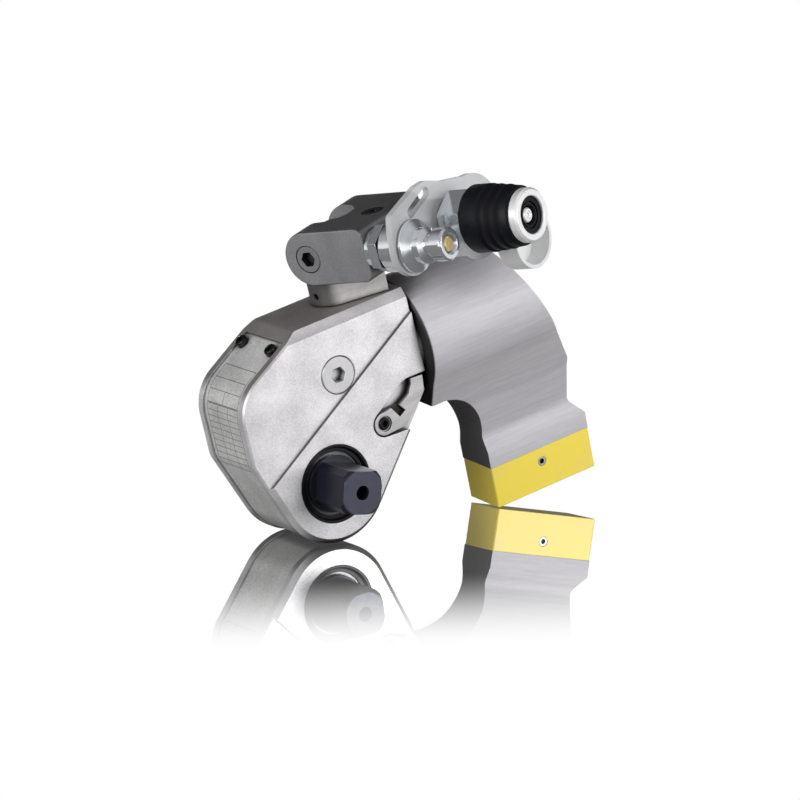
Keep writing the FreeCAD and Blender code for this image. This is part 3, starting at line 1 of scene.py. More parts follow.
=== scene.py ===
"""Looks of a hydraulic torque wrench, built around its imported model.

Each sub-assembly of the tool is a class that dresses its own pieces, and each finish is a small
frozen dataclass that builds one procedural material.  All lengths are in metres.
"""

import logging
import math
from dataclasses import dataclass, field
from enum import Enum

import bpy
from bpy.types import Material, Node, NodeSocket, NodeTree, Object
from mathutils import Euler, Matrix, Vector


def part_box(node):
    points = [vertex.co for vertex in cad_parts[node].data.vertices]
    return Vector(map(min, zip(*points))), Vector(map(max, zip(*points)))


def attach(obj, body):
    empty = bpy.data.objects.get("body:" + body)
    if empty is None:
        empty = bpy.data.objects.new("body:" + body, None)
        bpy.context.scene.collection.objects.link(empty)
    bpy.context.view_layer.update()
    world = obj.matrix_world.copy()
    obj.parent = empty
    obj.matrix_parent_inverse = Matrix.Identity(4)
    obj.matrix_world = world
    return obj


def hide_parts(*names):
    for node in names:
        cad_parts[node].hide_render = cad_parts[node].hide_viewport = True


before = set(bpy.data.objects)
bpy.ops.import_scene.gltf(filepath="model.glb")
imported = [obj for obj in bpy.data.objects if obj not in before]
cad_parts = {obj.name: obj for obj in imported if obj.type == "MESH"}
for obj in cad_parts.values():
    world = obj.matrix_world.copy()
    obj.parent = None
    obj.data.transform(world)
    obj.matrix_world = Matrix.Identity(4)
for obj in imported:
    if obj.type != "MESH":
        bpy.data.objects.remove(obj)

LOG = logging.getLogger("torque_wrench")
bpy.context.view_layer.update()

# The cylinder's axis rises by this angle towards the arm, and brush lines and stains follow it.
LEAN = math.radians(13.293)
ALONG = Vector((math.cos(LEAN), 0.0, math.sin(LEAN)))
UPRIGHT = Vector((-math.sin(LEAN), 0.0, math.cos(LEAN)))
DRIVE_SIDE = (0.0, -1.0, 0.0)
COUPLING_AXIS = Vector((0.3617, -0.9199, 0.1517))

# Settings that many nodes share.
DOT = {"operation": "DOT_PRODUCT"}
TIMES = {"operation": "SCALE"}
PRODUCT = {"operation": "MULTIPLY"}
EASED = {"interpolation_type": "SMOOTHSTEP"}
COLOURS = {"data_type": "RGBA"}
EDGE_RAYS = {"samples": 4}
GAP_RAYS = {"samples": 6}
WHITE = (1, 1, 1, 1)

# Share of a surrounding that is open where painted shade in gaps, or the broad painted shade near other pieces,
# starts and where the metal is left unshaded.
GAP_SHADE_OPEN = (0.3, 0.9)
CONTACT_SHADE_OPEN = (0.45, 0.95)
CONTACT_SHADE_LEFT = 0.2
# Length over which a painted shade fades out, and the width of the line that ends the drive's end face painted paler
# as highlight.
SHADE_FADE = 0.0010
LIT_END_FADE = 0.0005
# Height of a face's normal at which the painted light tones of upper and lower faces of plated steel start and are
# full.
UPPER_LIGHTING_FACES = (0.45, 0.8)
LOWER_LIGHTING_FACES = (-0.3, -0.6)
# Share of "forward" in a normal at which the painted shade of a ground front end starts and is full.
SHADED_END_FACES = (0.25, 0.75)
# Worn edges: radius of the rounding that catches the light on large, small and painted pieces.
LARGE_EDGE = 0.0005
SMALL_EDGE = 0.00025
PAINT_EDGE = 0.0006
# Sum of a fine and a broad noise at which the darker tone ends and the paler one is full.
NOISE_SUM = (0.75, 1.25)
# Least and most brightness that handling leaves on an even surface.
HANDLED = (0.92, 1.05)
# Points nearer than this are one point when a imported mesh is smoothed.
WELD_GAP = 0.000002


class Slot(Enum):
    """Names of two material slots that new pieces could take their finish from; nothing in this script uses them."""

    BLACK = "black_oxide"
    INNER = "inner_steel"


def linear(code: str) -> tuple[float, float, float, float]:
    """Turn an sRGB hex value into linear colour.

    Args:
        code: six hex digits with a leading hash.

    Returns:
        Red, green, blue and an alpha of one.
    """
    values = [int(code[i:i + 2], 16) / 255 for i in (1, 3, 5)]
    mixed = [v / 12.92 if v <= 0.04045 else ((v + 0.055) / 1.055) ** 2.4 for v in values]
    return (mixed[0], mixed[1], mixed[2], 1.0)


def add_node(tree: NodeTree, kind: str, settings: dict | None = None,
             values: dict | None = None, links: dict | None = None) -> Node:
    """Add one node with its settings, input values and incoming links.

    Args:
        tree: the node tree that gets the node.
        kind: the node's type name.
        settings: attributes of the node itself.
        values: plain values of inputs, by name or index.
        links: output sockets that feed inputs, by name or index.

    Returns:
        The new node.
    """
    node = tree.nodes.new(kind)
    for key, value in (settings or {}).items():
        setattr(node, key, value)
    for key, value in (values or {}).items():
        node.inputs[key].default_value = value
    for key, socket in (links or {}).items():
        tree.links.new(socket, node.inputs[key])
    return node


def new_material(name: str) -> tuple[Material, NodeTree, Node]:
    """Start an empty material.

    Args:
        name: the material's name.

    Returns:
        The material, its node tree and its principled shader, already wired to the output.
    """
    material = bpy.data.materials.new(name)
    material.use_nodes = True
    tree = material.node_tree
    tree.nodes.clear()
    shader = add_node(tree, "ShaderNodeBsdfPrincipled")
    add_node(tree, "ShaderNodeOutputMaterial", links={"Surface": shader.outputs["BSDF"]})
    return material, tree, shader


def grain_coordinates(tree: NodeTree, length: float, width: float) -> NodeSocket:
    """Stretch object coordinates along the tool, so that noise turns into brush lines.

    Args:
        tree: the material's node tree.
        length: length of one line.
        width: spacing of the lines.

    Returns:
        The stretched coordinates.
    """
    where = add_node(tree, "ShaderNodeTexCoord")
    turned = add_node(tree, "ShaderNodeMapping", values={"Rotation": (0.0, LEAN, 0.0)},
                      links={"Vector": where.outputs["Object"]})
    scaled = add_node(tree, "ShaderNodeMapping", values={"Scale": (1 / length, 1 / width, 1 / width)},
                      links={"Vector": turned.outputs["Vector"]})
    return scaled.outputs["Vector"]


def shade_gaps(tree: NodeTree, colour: NodeSocket, reach: float, left: float,
              contact_shade_reach: float = 0.0) -> NodeSocket:
    """Paint shade into a colour: darker in grooves and in the gap beside another piece, by how closed in each point
    is.

    Args:
        tree: the material's node tree.
        colour: the unshaded colour.
        reach: how far from a wall the painted shade reaches.
        left: share of the colour that is left deep in a gap.
        contact_shade_reach: how far a broad painted shade near other pieces reaches out of sheltered corners, or zero
            for none.

    Returns:
        The colour with painted shade.
    """
    # Painted shade: ambient occlusion darkens the colour in grooves and gaps.
    closed = add_node(tree, "ShaderNodeAmbientOcclusion", GAP_RAYS, {"Distance": reach})
    share = add_node(tree, "ShaderNodeMapRange", EASED,
                     {"From Min": GAP_SHADE_OPEN[0], "From Max": GAP_SHADE_OPEN[1], "To Min": left},
                     {"Value": closed.outputs["AO"]})
    corner_shaded = add_node(tree, "ShaderNodeVectorMath", TIMES, None,
                      {0: colour, "Scale": share.outputs["Result"]})
    if contact_shade_reach == 0.0:
        return corner_shaded.outputs["Vector"]
    # Painted shade: a wider occlusion darkens the colour near other pieces.
    sheltered = add_node(tree, "ShaderNodeAmbientOcclusion", GAP_RAYS, {"Distance": contact_shade_reach})
    contact_share = add_node(tree, "ShaderNodeMapRange", EASED,
                    {"From Min": CONTACT_SHADE_OPEN[0], "From Max": CONTACT_SHADE_OPEN[1], "To Min": CONTACT_SHADE_LEFT},
                    {"Value": sheltered.outputs["AO"]})
    contact_shaded = add_node(tree, "ShaderNodeVectorMath", TIMES, None,
                      {0: corner_shaded.outputs["Vector"], "Scale": contact_share.outputs["Result"]})
    return contact_shaded.outputs["Vector"]


def raise_skin(tree: NodeTree, shader: Node, height: NodeSocket, strength: float, relief: float,
               edge: float = 0.0) -> None:
    """Raise a pattern on the surface, and round its edges where they catch the light.

    Args:
        tree: the material's node tree.
        shader: the material's shader.
        height: the pattern.
        strength: how strongly the pattern shows, up to one.
        relief: the pattern's height.
        edge: radius of the rounded edges, or zero for none.
    """
    bump = add_node(tree, "ShaderNodeBump", values={"Strength": strength, "Distance": relief},
                    links={"Height": height})
    if edge > 0.0:
        rounded = add_node(tree, "ShaderNodeBevel", EDGE_RAYS, {"Radius": edge})
        tree.links.new(rounded.outputs["Normal"], bump.inputs["Normal"])
    tree.links.new(bump.outputs["Normal"], shader.inputs["Normal"])


@dataclass(frozen=True)
class SatinNickel:
    """Nickel plate over a blasted forging: fine pebbles, a soft wide gloss, painted light tones on faces that look up
    and down, and painted shade in gaps.
    """

    name: str = "satin_nickel_plate"
    side: str = "#E0DEE0"
    # Painted light: tone of faces that look up, a painted shade on most finishes and a slight painted highlight on
    # the strip.
    upper_lighting_tone: str = "#979190"
    pebble: float = 0.0005
    relief: float = 0.00011
    roughness: float = 0.42
    metallic: float = 0.5
    # Painted shade in gaps: share of the colour left deep in a gap, and how far the shade reaches.
    gap_shade_left: float = 0.08
    gap_shade_reach: float = 0.0035
    # Painted shade: tone of faces that look down.
    under_lighting_tone: str = "#747273"
    clouds_per_metre: float = 60.0
    bump: float = 0.6
    tint: tuple[float, float] = (0.78, 1.14)
    gloss_spread: tuple[float, float] = (-0.06, 0.08)

    def build(self) -> Material:
        """Build the material.

        Returns:
            The material.
        """
        material, tree, shader = new_material(self.name)
        where = add_node(tree, "ShaderNodeTexCoord")
        # Painted light: faces that look up, and those that look down, take their own tones for how light falls on
        # them.
        up = add_node(tree, "ShaderNodeVectorMath", DOT, {1: tuple(UPRIGHT)}, {0: where.outputs["Normal"]})
        share = add_node(tree, "ShaderNodeMapRange", EASED,
                         {"From Min": UPPER_LIGHTING_FACES[0], "From Max": UPPER_LIGHTING_FACES[1]}, {"Value": up.outputs["Value"]})
        cloud = add_node(tree, "ShaderNodeTexNoise", values={"Scale": self.clouds_per_metre, "Detail": 3.0},
                         links={"Vector": where.outputs["Object"]})
        pebbles = add_node(tree, "ShaderNodeTexNoise",
                           values={"Scale": 1 / self.pebble, "Detail": 2.0, "Roughness": 0.6},
                           links={"Vector": where.outputs["Object"]})
        both = add_node(tree, "ShaderNodeMath", {"operation": "ADD"},
                        links={0: cloud.outputs["Fac"], 1: pebbles.outputs["Fac"]})
        tint = add_node(tree, "ShaderNodeMapRange",
                        values={"From Min": NOISE_SUM[0], "From Max": NOISE_SUM[1],
                                "To Min": self.tint[0], "To Max": self.tint[1]},
                        links={"Value": both.outputs["Value"]})
        tone = add_node(tree, "ShaderNodeMix", COLOURS,
                        {"A": linear(self.side), "B": linear(self.upper_lighting_tone)}, {"Factor": share.outputs["Result"]})
        low = add_node(tree, "ShaderNodeMapRange", EASED,
                       {"From Min": LOWER_LIGHTING_FACES[0], "From Max": LOWER_LIGHTING_FACES[1]}, {"Value": up.outputs["Value"]})
        sides = add_node(tree, "ShaderNodeMix", COLOURS, {"B": linear(self.under_lighting_tone)},
                         {"Factor": low.outputs["Result"], "A": tone.outputs["Result"]})
        colour = add_node(tree, "ShaderNodeVectorMath", TIMES, None,
                          {0: sides.outputs["Result"], "Scale": tint.outputs["Result"]})
        # Painted shade in gaps and grooves.
        gap_shaded = shade_gaps(tree, colour.outputs["Vector"], self.gap_shade_reach, self.gap_shade_left)
        tree.links.new(gap_shaded, shader.inputs["Base Color"])
        raise_skin(tree, shader, pebbles.outputs["Fac"], self.bump, self.relief, LARGE_EDGE)
        rough = add_node(tree, "ShaderNodeMapRange",
                         values={"To Min": self.roughness + self.gloss_spread[0],
                                 "To Max": self.roughness + self.gloss_spread[1]},
                         links={"Value": cloud.outputs["Fac"]})
        tree.links.new(rough.outputs["Result"], shader.inputs["Roughness"])
        shader.inputs["Metallic"].default_value = self.metallic
        return material


@dataclass(frozen=True)
class BrushedSteel:
    """Ground steel: long fine brush lines that break the gloss across the grain, with painted shade on front ends, in
    gaps and past a set plane.
    """

    name: str
    colour: str
    dark: str
    # Painted shade: tone of faces that look forward.
    end_lighting_tone: str = "#8C8B8C"
    line: float = 0.0005
    length: float = 0.035
    broad_share: float = 8.0
    relief: float = 0.00003
    roughness: float = 0.34
    metallic: float = 0.5
    # Painted shade in gaps: share of the colour left deep in a gap, and how far the shade reaches.
    gap_shade_left: float = 0.08
    gap_shade_reach: float = 0.0035
    # Painted shade near other pieces: how far it reaches, or zero for none.
    contact_shade_reach: float = 0.0
    # Painted shade: past a plane across this axis the colour turns to a dark tone, as shade in a gap or recess.
    shade_axis: tuple[float, float, float] = tuple(ALONG)
    shaded_beyond: float = -1.0
    shade_tone: str = "#0C0C0D"
    broad_length: float = 3.0
    bump: float = 0.5
    gloss_spread: float = 0.07

    def build(self) -> Material:
        """Build the material.

        Returns:
            The material.
        """
        material, tree, shader = new_material(self.name)
        lines_at = grain_coordinates(tree, self.length, self.line)
        lines = add_node(tree, "ShaderNodeTexNoise", values={"Scale": 1.0, "Detail": 4.0, "Roughness": 0.65},
                         links={"Vector": lines_at})
        broad_at = grain_coordinates(tree, self.length * self.broad_length, self.line * self.broad_share)
        broad = add_node(tree, "ShaderNodeTexNoise", values={"Scale": 1.0, "Detail": 2.0},
                         links={"Vector": broad_at})
        both = add_node(tree, "ShaderNodeMath", {"operation": "ADD"},
                        links={0: lines.outputs["Fac"], 1: broad.outputs["Fac"]})
        share = add_node(tree, "ShaderNodeMapRange", values={"From Min": NOISE_SUM[0], "From Max": NOISE_SUM[1]},
                         links={"Value": both.outputs["Value"]})
        tone = add_node(tree, "ShaderNodeMix", COLOURS,
                        {"A": linear(self.dark), "B": linear(self.colour)}, {"Factor": share.outputs["Result"]})
        where = add_node(tree, "ShaderNodeTexCoord")
        # Painted shade: faces that look forward take the darker end tone.
        ahead = add_node(tree, "ShaderNodeVectorMath", DOT, {1: tuple(-ALONG)}, {0: where.outputs["Normal"]})
        ended = add_node(tree, "ShaderNodeMapRange", EASED,
                         {"From Min": SHADED_END_FACES[0], "From Max": SHADED_END_FACES[1]}, {"Value": ahead.outputs["Value"]})
        whole = add_node(tree, "ShaderNodeMix", COLOURS, {"B": linear(self.end_lighting_tone)},
                         {"Factor": ended.outputs["Result"], "A": tone.outputs["Result"]})
        # Painted shade: past a plane across the axis the colour turns to the dark tone.
        distance = add_node(tree, "ShaderNodeVectorMath", DOT, {1: self.shade_axis}, {0: where.outputs["Object"]})
        shade_share = add_node(tree, "ShaderNodeMapRange", EASED,
                           {"From Min": self.shaded_beyond, "From Max": self.shaded_beyond - SHADE_FADE},
                           {"Value": distance.outputs["Value"]})
        faced = add_node(tree, "ShaderNodeMix", COLOURS, {"B": linear(self.shade_tone)},
                         {"Factor": shade_share.outputs["Result"], "A": whole.outputs["Result"]})
        # Painted shade in gaps and near other pieces.
        gap_shaded = shade_gaps(tree, faced.outputs["Result"], self.gap_shade_reach, self.gap_shade_left, self.contact_shade_reach)
        tree.links.new(gap_shaded, shader.inputs["Base Color"])
        raise_skin(tree, shader, lines.outputs["Fac"], self.bump, self.relief, LARGE_EDGE)
        rough = add_node(tree, "ShaderNodeMapRange",
                         values={"To Min": self.roughness - self.gloss_spread,
                                 "To Max": self.roughness + self.gloss_spread},
                         links={"Value": lines.outputs["Fac"]})
        tree.links.new(rough.outputs["Result"], shader.inputs["Roughness"])
        shader.inputs["Metallic"].default_value = self.metallic
        return material


@dataclass(frozen=True)
class TurnedMetal:
    """A small turned or plated piece: even colour, faint handling marks, bright edges, painted shade in gaps, perhaps
    an end face painted paler as highlight.
    """

    name: str
    colour: str
    roughness: float
    metallic: float = 1.0
    mark: float = 0.0025
    relief: float = 0.000008
    # Painted shade in gaps: share of the colour left deep in a gap, and how far the shade reaches.
    gap_shade_left: float = 0.15
    gap_shade_reach: float = 0.0015
    # Painted highlight: paler tone of the end face past a plane on the drive side, or empty for none.
    end_lighting_tone: str = ""
    lit_end_from: float = 0.0429
    bump: float = 0.4
    gloss_spread: tuple[float, float] = (0.7, 1.4)

    def build(self) -> Material:
        """Build the material.

        Returns:
            The material.
        """
        material, tree, shader = new_material(self.name)
        where = add_node(tree, "ShaderNodeTexCoord")
        marks = add_node(tree, "ShaderNodeTexNoise", values={"Scale": 1 / self.mark, "Detail": 4.0},
                         links={"Vector": where.outputs["Object"]})
        rough = add_node(tree, "ShaderNodeMapRange",
                         values={"To Min": self.roughness * self.gloss_spread[0],
                                 "To Max": self.roughness * self.gloss_spread[1]},
                         links={"Value": marks.outputs["Fac"]})
        tree.links.new(rough.outputs["Result"], shader.inputs["Roughness"])
        tint = add_node(tree, "ShaderNodeMapRange", values={"To Min": HANDLED[0], "To Max": HANDLED[1]},
                        links={"Value": marks.outputs["Fac"]})
        colour = add_node(tree, "ShaderNodeVectorMath", TIMES, {0: linear(self.colour)[:3]},
                          {"Scale": tint.outputs["Result"]})
        before_gap_shade = colour.outputs["Vector"]
        # Painted highlight: past a plane on the drive side the end face takes the paler tone.
        if self.end_lighting_tone:
            outward = add_node(tree, "ShaderNodeVectorMath", DOT, {1: DRIVE_SIDE}, {0: where.outputs["Object"]})
            faced = add_node(tree, "ShaderNodeMapRange",
                             values={"From Min": self.lit_end_from, "From Max": self.lit_end_from + LIT_END_FADE},
                             links={"Value": outward.outputs["Value"]})
            tones = add_node(tree, "ShaderNodeMix", COLOURS, {"B": linear(self.end_lighting_tone)},
                             {"Factor": faced.outputs["Result"], "A": before_gap_shade})
            before_gap_shade = tones.outputs["Result"]
        # Painted shade in gaps and grooves.
        gap_shaded = shade_gaps(tree, before_gap_shade, self.gap_shade_reach, self.gap_shade_left)
        tree.links.new(gap_shaded, shader.inputs["Base Color"])
        raise_skin(tree, shader, marks.outputs["Fac"], self.bump, self.relief, SMALL_EDGE)
        shader.inputs["Metallic"].default_value = self.metallic
        return material


@dataclass(frozen=True)
class MouldedRubber:
    """Nitrile rubber out of a mould: near black, dull, with dust specks."""

    name: str = "moulded_rubber"
    colour: str = "#0B0C12"
    speck: str = "#3A3B40"
    speck_size: float = 0.0008
    speck_rim: float = 0.12
    speck_core: float = 0.04
    roughness: float = 0.5
    specular: float = 0.22
    grains_per_metre: float = 1500.0
    relief: float = 0.00003
    bump: float = 0.5

    def build(self) -> Material:
        """Build the material.

        Returns:
            The material.
        """
        material, tree, shader = new_material(self.name)
        where = add_node(tree, "ShaderNodeTexCoord")
        specks = add_node(tree, "ShaderNodeTexVoronoi", values={"Scale": 1 / self.speck_size},
                          links={"Vector": where.outputs["Object"]})
        share = add_node(tree, "ShaderNodeMapRange", values={"From Min": self.speck_rim, "From Max": self.speck_core},
                         links={"Value": specks.outputs["Distance"]})
        tone = add_node(tree, "ShaderNodeMix", COLOURS,
                        {"A": linear(self.colour), "B": linear(self.speck)}, {"Factor": share.outputs["Result"]})
        tree.links.new(tone.outputs["Result"], shader.inputs["Base Color"])
        grain = add_node(tree, "ShaderNodeTexNoise", values={"Scale": self.grains_per_metre, "Detail": 2.0},
                         links={"Vector": where.outputs["Object"]})
        raise_skin(tree, shader, grain.outputs["Fac"], self.bump, self.relief)
        shader.inputs["Roughness"].default_value = self.roughness
        shader.inputs["Specular IOR Level"].default_value = self.specular
        return material


@dataclass(frozen=True)
class YellowPaint:
    """Satin enamel on the pad: a slight roll in the coat and cloudy patches of a paler tone, a painted sheen."""

    name: str = "yellow_enamel"
    colour: str = "#FFE659"
    # Painted sheen: a paler tone laid on in cloudy patches.
    sheen_tone: str = "#F8E27A"
    ripple: float = 0.002
    roughness: float = 0.38
    coat: float = 0.25
    sheen_from: float = 0.55
    sheen_full: float = 0.8
    sheen_share: float = 0.7
    clouds_per_metre: float = 70.0
    relief: float = 0.00005
    bump: float = 0.3

    def build(self) -> Material:
        """Build the material.

        Returns:
            The material.
        """
        material, tree, shader = new_material(self.name)
        where = add_node(tree, "ShaderNodeTexCoord")
        ripple = add_node(tree, "ShaderNodeTexNoise", values={"Scale": 1 / self.ripple, "Detail": 2.0},
                          links={"Vector": where.outputs["Object"]})
        cloud = add_node(tree, "ShaderNodeTexNoise", values={"Scale": self.clouds_per_metre, "Detail": 4.0},
                         links={"Vector": where.outputs["Object"]})
        # Painted sheen: cloudy patches take the paler tone.
        share = add_node(tree, "ShaderNodeMapRange",
                         values={"From Min": self.sheen_from, "From Max": self.sheen_full,
                                 "To Max": self.sheen_share}, links={"Value": cloud.outputs["Fac"]})
        tone = add_node(tree, "ShaderNodeMix", COLOURS,
                        {"A": linear(self.colour), "B": linear(self.sheen_tone)}, {"Factor": share.outputs["Result"]})
        tree.links.new(tone.outputs["Result"], shader.inputs["Base Color"])
        raise_skin(tree, shader, ripple.outputs["Fac"], self.bump, self.relief, PAINT_EDGE)
        shader.inputs["Roughness"].default_value = self.roughness
        shader.inputs["Coat Weight"].default_value = self.coat
        return material


@dataclass(frozen=True)
class CloudyPlastic:
    """Soft polyethylene: milky, waxy and partly see-through."""

    name: str
    colour: str
    alpha: float
    roughness: float = 0.35
    clouds_per_metre: float = 90.0
    relief: float = 0.00008
    bump: float = 0.3

    def build(self) -> Material:
        """Build the material.

        Returns:
            The material.
        """
        material, tree, shader = new_material(self.name)
        where = add_node(tree, "ShaderNodeTexCoord")
        cloud = add_node(tree, "ShaderNodeTexNoise", values={"Scale": self.clouds_per_metre, "Detail": 3.0},
                         links={"Vector": where.outputs["Object"]})
        tint = add_node(tree, "ShaderNodeMapRange", values={"To Min": HANDLED[0], "To Max": HANDLED[1]},
                        links={"Value": cloud.outputs["Fac"]})
        colour = add_node(tree, "ShaderNodeVectorMath", TIMES, {0: linear(self.colour)[:3]},
                          {"Scale": tint.outputs["Result"]})
        tree.links.new(colour.outputs["Vector"], shader.inputs["Base Color"])
        raise_skin(tree, shader, cloud.outputs["Fac"], self.bump, self.relief)
        shader.inputs["Alpha"].default_value = self.alpha
        shader.inputs["Roughness"].default_value = self.roughness
        return material


Finish = SatinNickel | BrushedSteel | TurnedMetal | MouldedRubber | YellowPaint | CloudyPlastic

# Satin nickel on a shot-blasted steel forging: pale, softly glossy, with a pebbled skin, painted shade on its top and
# under faces and painted shade in gaps.  The real pebbles are about 0.2 mm and too fine to show, so they are drawn at
# 0.5 mm.
HOUSING_NICKEL = SatinNickel()
# Satin nickel on rolled strip: smoother and more even than the housing beside it, painted a little paler on upward
# faces as highlight and darker on downward faces as shade.
SHROUD_NICKEL = SatinNickel("satin_nickel_strip", side="#E8E8E7", upper_lighting_tone="#ECEBEA", pebble=0.0012, relief=0.00002,
                            roughness=0.38, metallic=0.5, under_lighting_tone="#C4C4C3")
# Steel faced on a lathe, left bare: grey, with painted shade in the socket's corners.
PLUG_STEEL = TurnedMetal("faced_steel", "#D6D5D7", roughness=0.34, metallic=0.6, gap_shade_left=0.05, gap_shade_reach=0.003)
# Belt-ground steel: a wide dull gloss broken by brush lines.  Real lines are under 0.1 mm wide, so they are drawn
# at 0.5 mm to show.  Painted shade darkens sheltered corners, the parts near other pieces and faces that look
# forward, and the front face in the gap is painted nearly black as shade.
ARM_STEEL = BrushedSteel("brushed_arm_steel", colour="#C8C6CA", dark="#BBB9BD", end_lighting_tone="#5C5B5D", length=0.008,
                         broad_share=3.0, roughness=0.55, metallic=0.1, contact_shade_reach=0.022, shaded_beyond=0.0587)
# Blasted and darkened steel: dark grey, dull, grained all over, with painted shade on its top and under faces and in
# gaps; the grain is drawn at 0.6 mm to show.
YOKE_STEEL = SatinNickel("blasted_yoke_steel", side="#828284", upper_lighting_tone="#4E4E4E", pebble=0.0006, relief=0.00010,
                         roughness=0.55, metallic=0.2, gap_shade_left=0.08, under_lighting_tone="#5A5A5B")
# The same steel on the pin, with the same painted tones on its top and under faces, and painted shade that makes its
# socket deep black.
PIN_STEEL = SatinNickel("blasted_pin_steel", side="#7A7A7C", upper_lighting_tone="#4E4E4E", pebble=0.0006, relief=0.00010,
                        roughness=0.55, metallic=0.2, gap_shade_left=0.0, gap_shade_reach=0.009, under_lighting_tone="#5A5A5B")
# Ground steel, bright on the base's flanks, with painted shade on faces that look forward and in gaps; its ball above
# the neck, where it sits in its slot, is painted dark as shade.
BASE_STEEL = BrushedSteel("brushed_base_steel", colour="#E6E4E4", dark="#CBC8C7", end_lighting_tone="#5A5858", line=0.0007,
                          length=0.01, roughness=0.4, metallic=0.4, shade_axis=tuple(-UPRIGHT),
                          shaded_beyond=-0.0842, shade_tone="#38383A")
# Plain machined steel for pieces that work in oil: mid grey and glossy.
INNER_STEEL = TurnedMetal("machined_steel", "#9A9A9C", roughness=0.32)
# Ground steel on the lever's face, with painted shade on faces that look forward and in gaps; the floor of its notch
# and the walls below the face are painted dark as shade.
LEVER_STEEL = BrushedSteel("lever_steel", colour="#D0CECF", dark="#B8B6B7", line=0.0006, length=0.008,
                           gap_shade_reach=0.005, shade_axis=DRIVE_SIDE, shaded_beyond=0.0204, shade_tone="#33332D")
# Black oxide on hardened steel: blue-black with a low gloss, and the square's end face is painted paler as a
# highlight.
BLACK_OXIDE = TurnedMetal("black_oxide_steel", "#1E1F2A", roughness=0.34, metallic=0.3, end_lighting_tone="#4B4C5A")
# Black oxide on screws and bushings: almost black, without the painted highlight on the end.
BLACK_SCREW = TurnedMetal("black_screw_steel", "#101114", roughness=0.34, metallic=0.4)
# Bright zinc plate on the couplings: nearly a mirror, with a cool tint.
ZINC_CHROME = TurnedMetal("bright_zinc_plate", "#F3F7FB", roughness=0.12, metallic=0.88)
# Zinc plate on the sleeve and its valve, dulled by handling: white with a broad gloss.
SLEEVE_ZINC = TurnedMetal("satin_zinc_plate", "#FFFFFF", roughness=0.3, metallic=0.5)
# Turned brass of the plug's valve: pale yellow.
VALVE_BRASS = TurnedMetal("turned_brass", "#EBD69C", roughness=0.3, metallic=0.8)
# Moulded nitrile rubber: near black and dull, with dust specks that are drawn at 0.8 mm to show.
GRIP_RUBBER = MouldedRubber()
# Sprayed enamel: a clean yellow with a soft coat of gloss and cloudy patches of painted sheen.
PAD_PAINT = YellowPaint()
# Moulded polyethylene: milky, and the couplings show faintly through the thin plate.
PLATE_PLASTIC = CloudyPlastic("cloudy_polyethylene_plate", "#D2D3D4", alpha=0.64)
# The same plastic in the thicker cap: whiter and less clear.
CAP_PLASTIC = CloudyPlastic("cloudy_polyethylene_cap", "#F6F7F7", alpha=0.84)
# Etched rules on the nose strip: matt grey lines, drawn 0.22 mm wide.
RULE_INK = TurnedMetal("etched_rule", "#6C6D6A", roughness=0.5, metallic=0.2)

_made: dict[str, Material] = {}


def material_of(finish: Finish) -> Material:
    """Find the one material of a finish, built when it is first asked for.

    Args:
        finish: the finish.

    Returns:
        Its material.
    """
    if finish.name not in _made:
        _made[finish.name] = finish.build()
    return _made[finish.name]


def dress(node: str, finish: Finish, smooth_angle: float = 28.0) -> Object:
    """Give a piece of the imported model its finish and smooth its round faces.

    Args:
        node: the piece's name.
        finish: what it is made of.
        smooth_angle: edges sharper than this many degrees stay sharp.

    Returns:
        The piece's object.
    """
    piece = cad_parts[node]
    if "custom_normal" in piece.data.attributes:
        piece.data.attributes.remove(piece.data.attributes["custom_normal"])
    piece.data.materials.clear()
    piece.data.materials.append(material_of(finish))
    piece.data.polygons.foreach_set("material_index", [0] * len(piece.data.polygons))
    piece.data.polygons.foreach_set("use_smooth", [True] * len(piece.data.polygons))
    weld = piece.modifiers.new("weld", "WELD")
    weld.merge_threshold = WELD_GAP
    split = piece.modifiers.new("sharp_edges", "EDGE_SPLIT")
    split.split_angle = math.radians(smooth_angle)
    split.use_edge_sharp = False
    LOG.info("dressed %s in %s", node, finish.name)
    return piece


def bake_geometry(name: str, tree: NodeTree, values: dict[str, object]) -> Object:
    """Run a geometry tree once and keep its result as a plain mesh.

    Args:
        name: the piece's name.
        tree: the geometry tree.
        values: values of the tree's named inputs.

    Returns:
        A mesh object at the origin without modifiers.
    """
    seed = bpy.data.objects.new(name + "_seed", bpy.data.meshes.new(name + "_seed"))
    bpy.context.scene.collection.objects.link(seed)
    modifier = seed.modifiers.new("made", "NODES")
    modifier.node_group = tree
    for item in tree.interface.items_tree:
        if item.item_type == "SOCKET" and item.in_out == "INPUT" and item.name in values:
            modifier[item.identifier] = values[item.name]
    seed.update_tag()
    bpy.context.view_layer.update()
    evaluated = seed.evaluated_get(bpy.context.evaluated_depsgraph_get())
    mesh = bpy.data.meshes.new_from_object(evaluated)
    mesh.name = name
    bpy.data.objects.remove(seed)
    piece = bpy.data.objects.new(name, mesh)
    bpy.context.scene.collection.objects.link(piece)
    LOG.info("made %s with %d faces", name, len(mesh.polygons))
    return piece


def new_tree(name: str, inputs: dict[str, tuple[str, float | int]]) -> tuple[NodeTree, Node, Node]:
    """Start a geometry tree with named inputs.

    Args:
        name: the tree's name.
        inputs: socket type and default value of each input, by name.

    Returns:
        The tree, its input node and its output node.
    """
    tree = bpy.data.node_groups.new(name, "GeometryNodeTree")
    tree.interface.new_socket("Geometry", in_out="OUTPUT", socket_type="NodeSocketGeometry")
    for label, (kind, value) in inputs.items():
        socket = tree.interface.new_socket(label, in_out="INPUT", socket_type=kind)
        if kind != "NodeSocketObject":
            socket.default_value = value
    return tree, tree.nodes.new("NodeGroupInput"), tree.nodes.new("NodeGroupOutput")


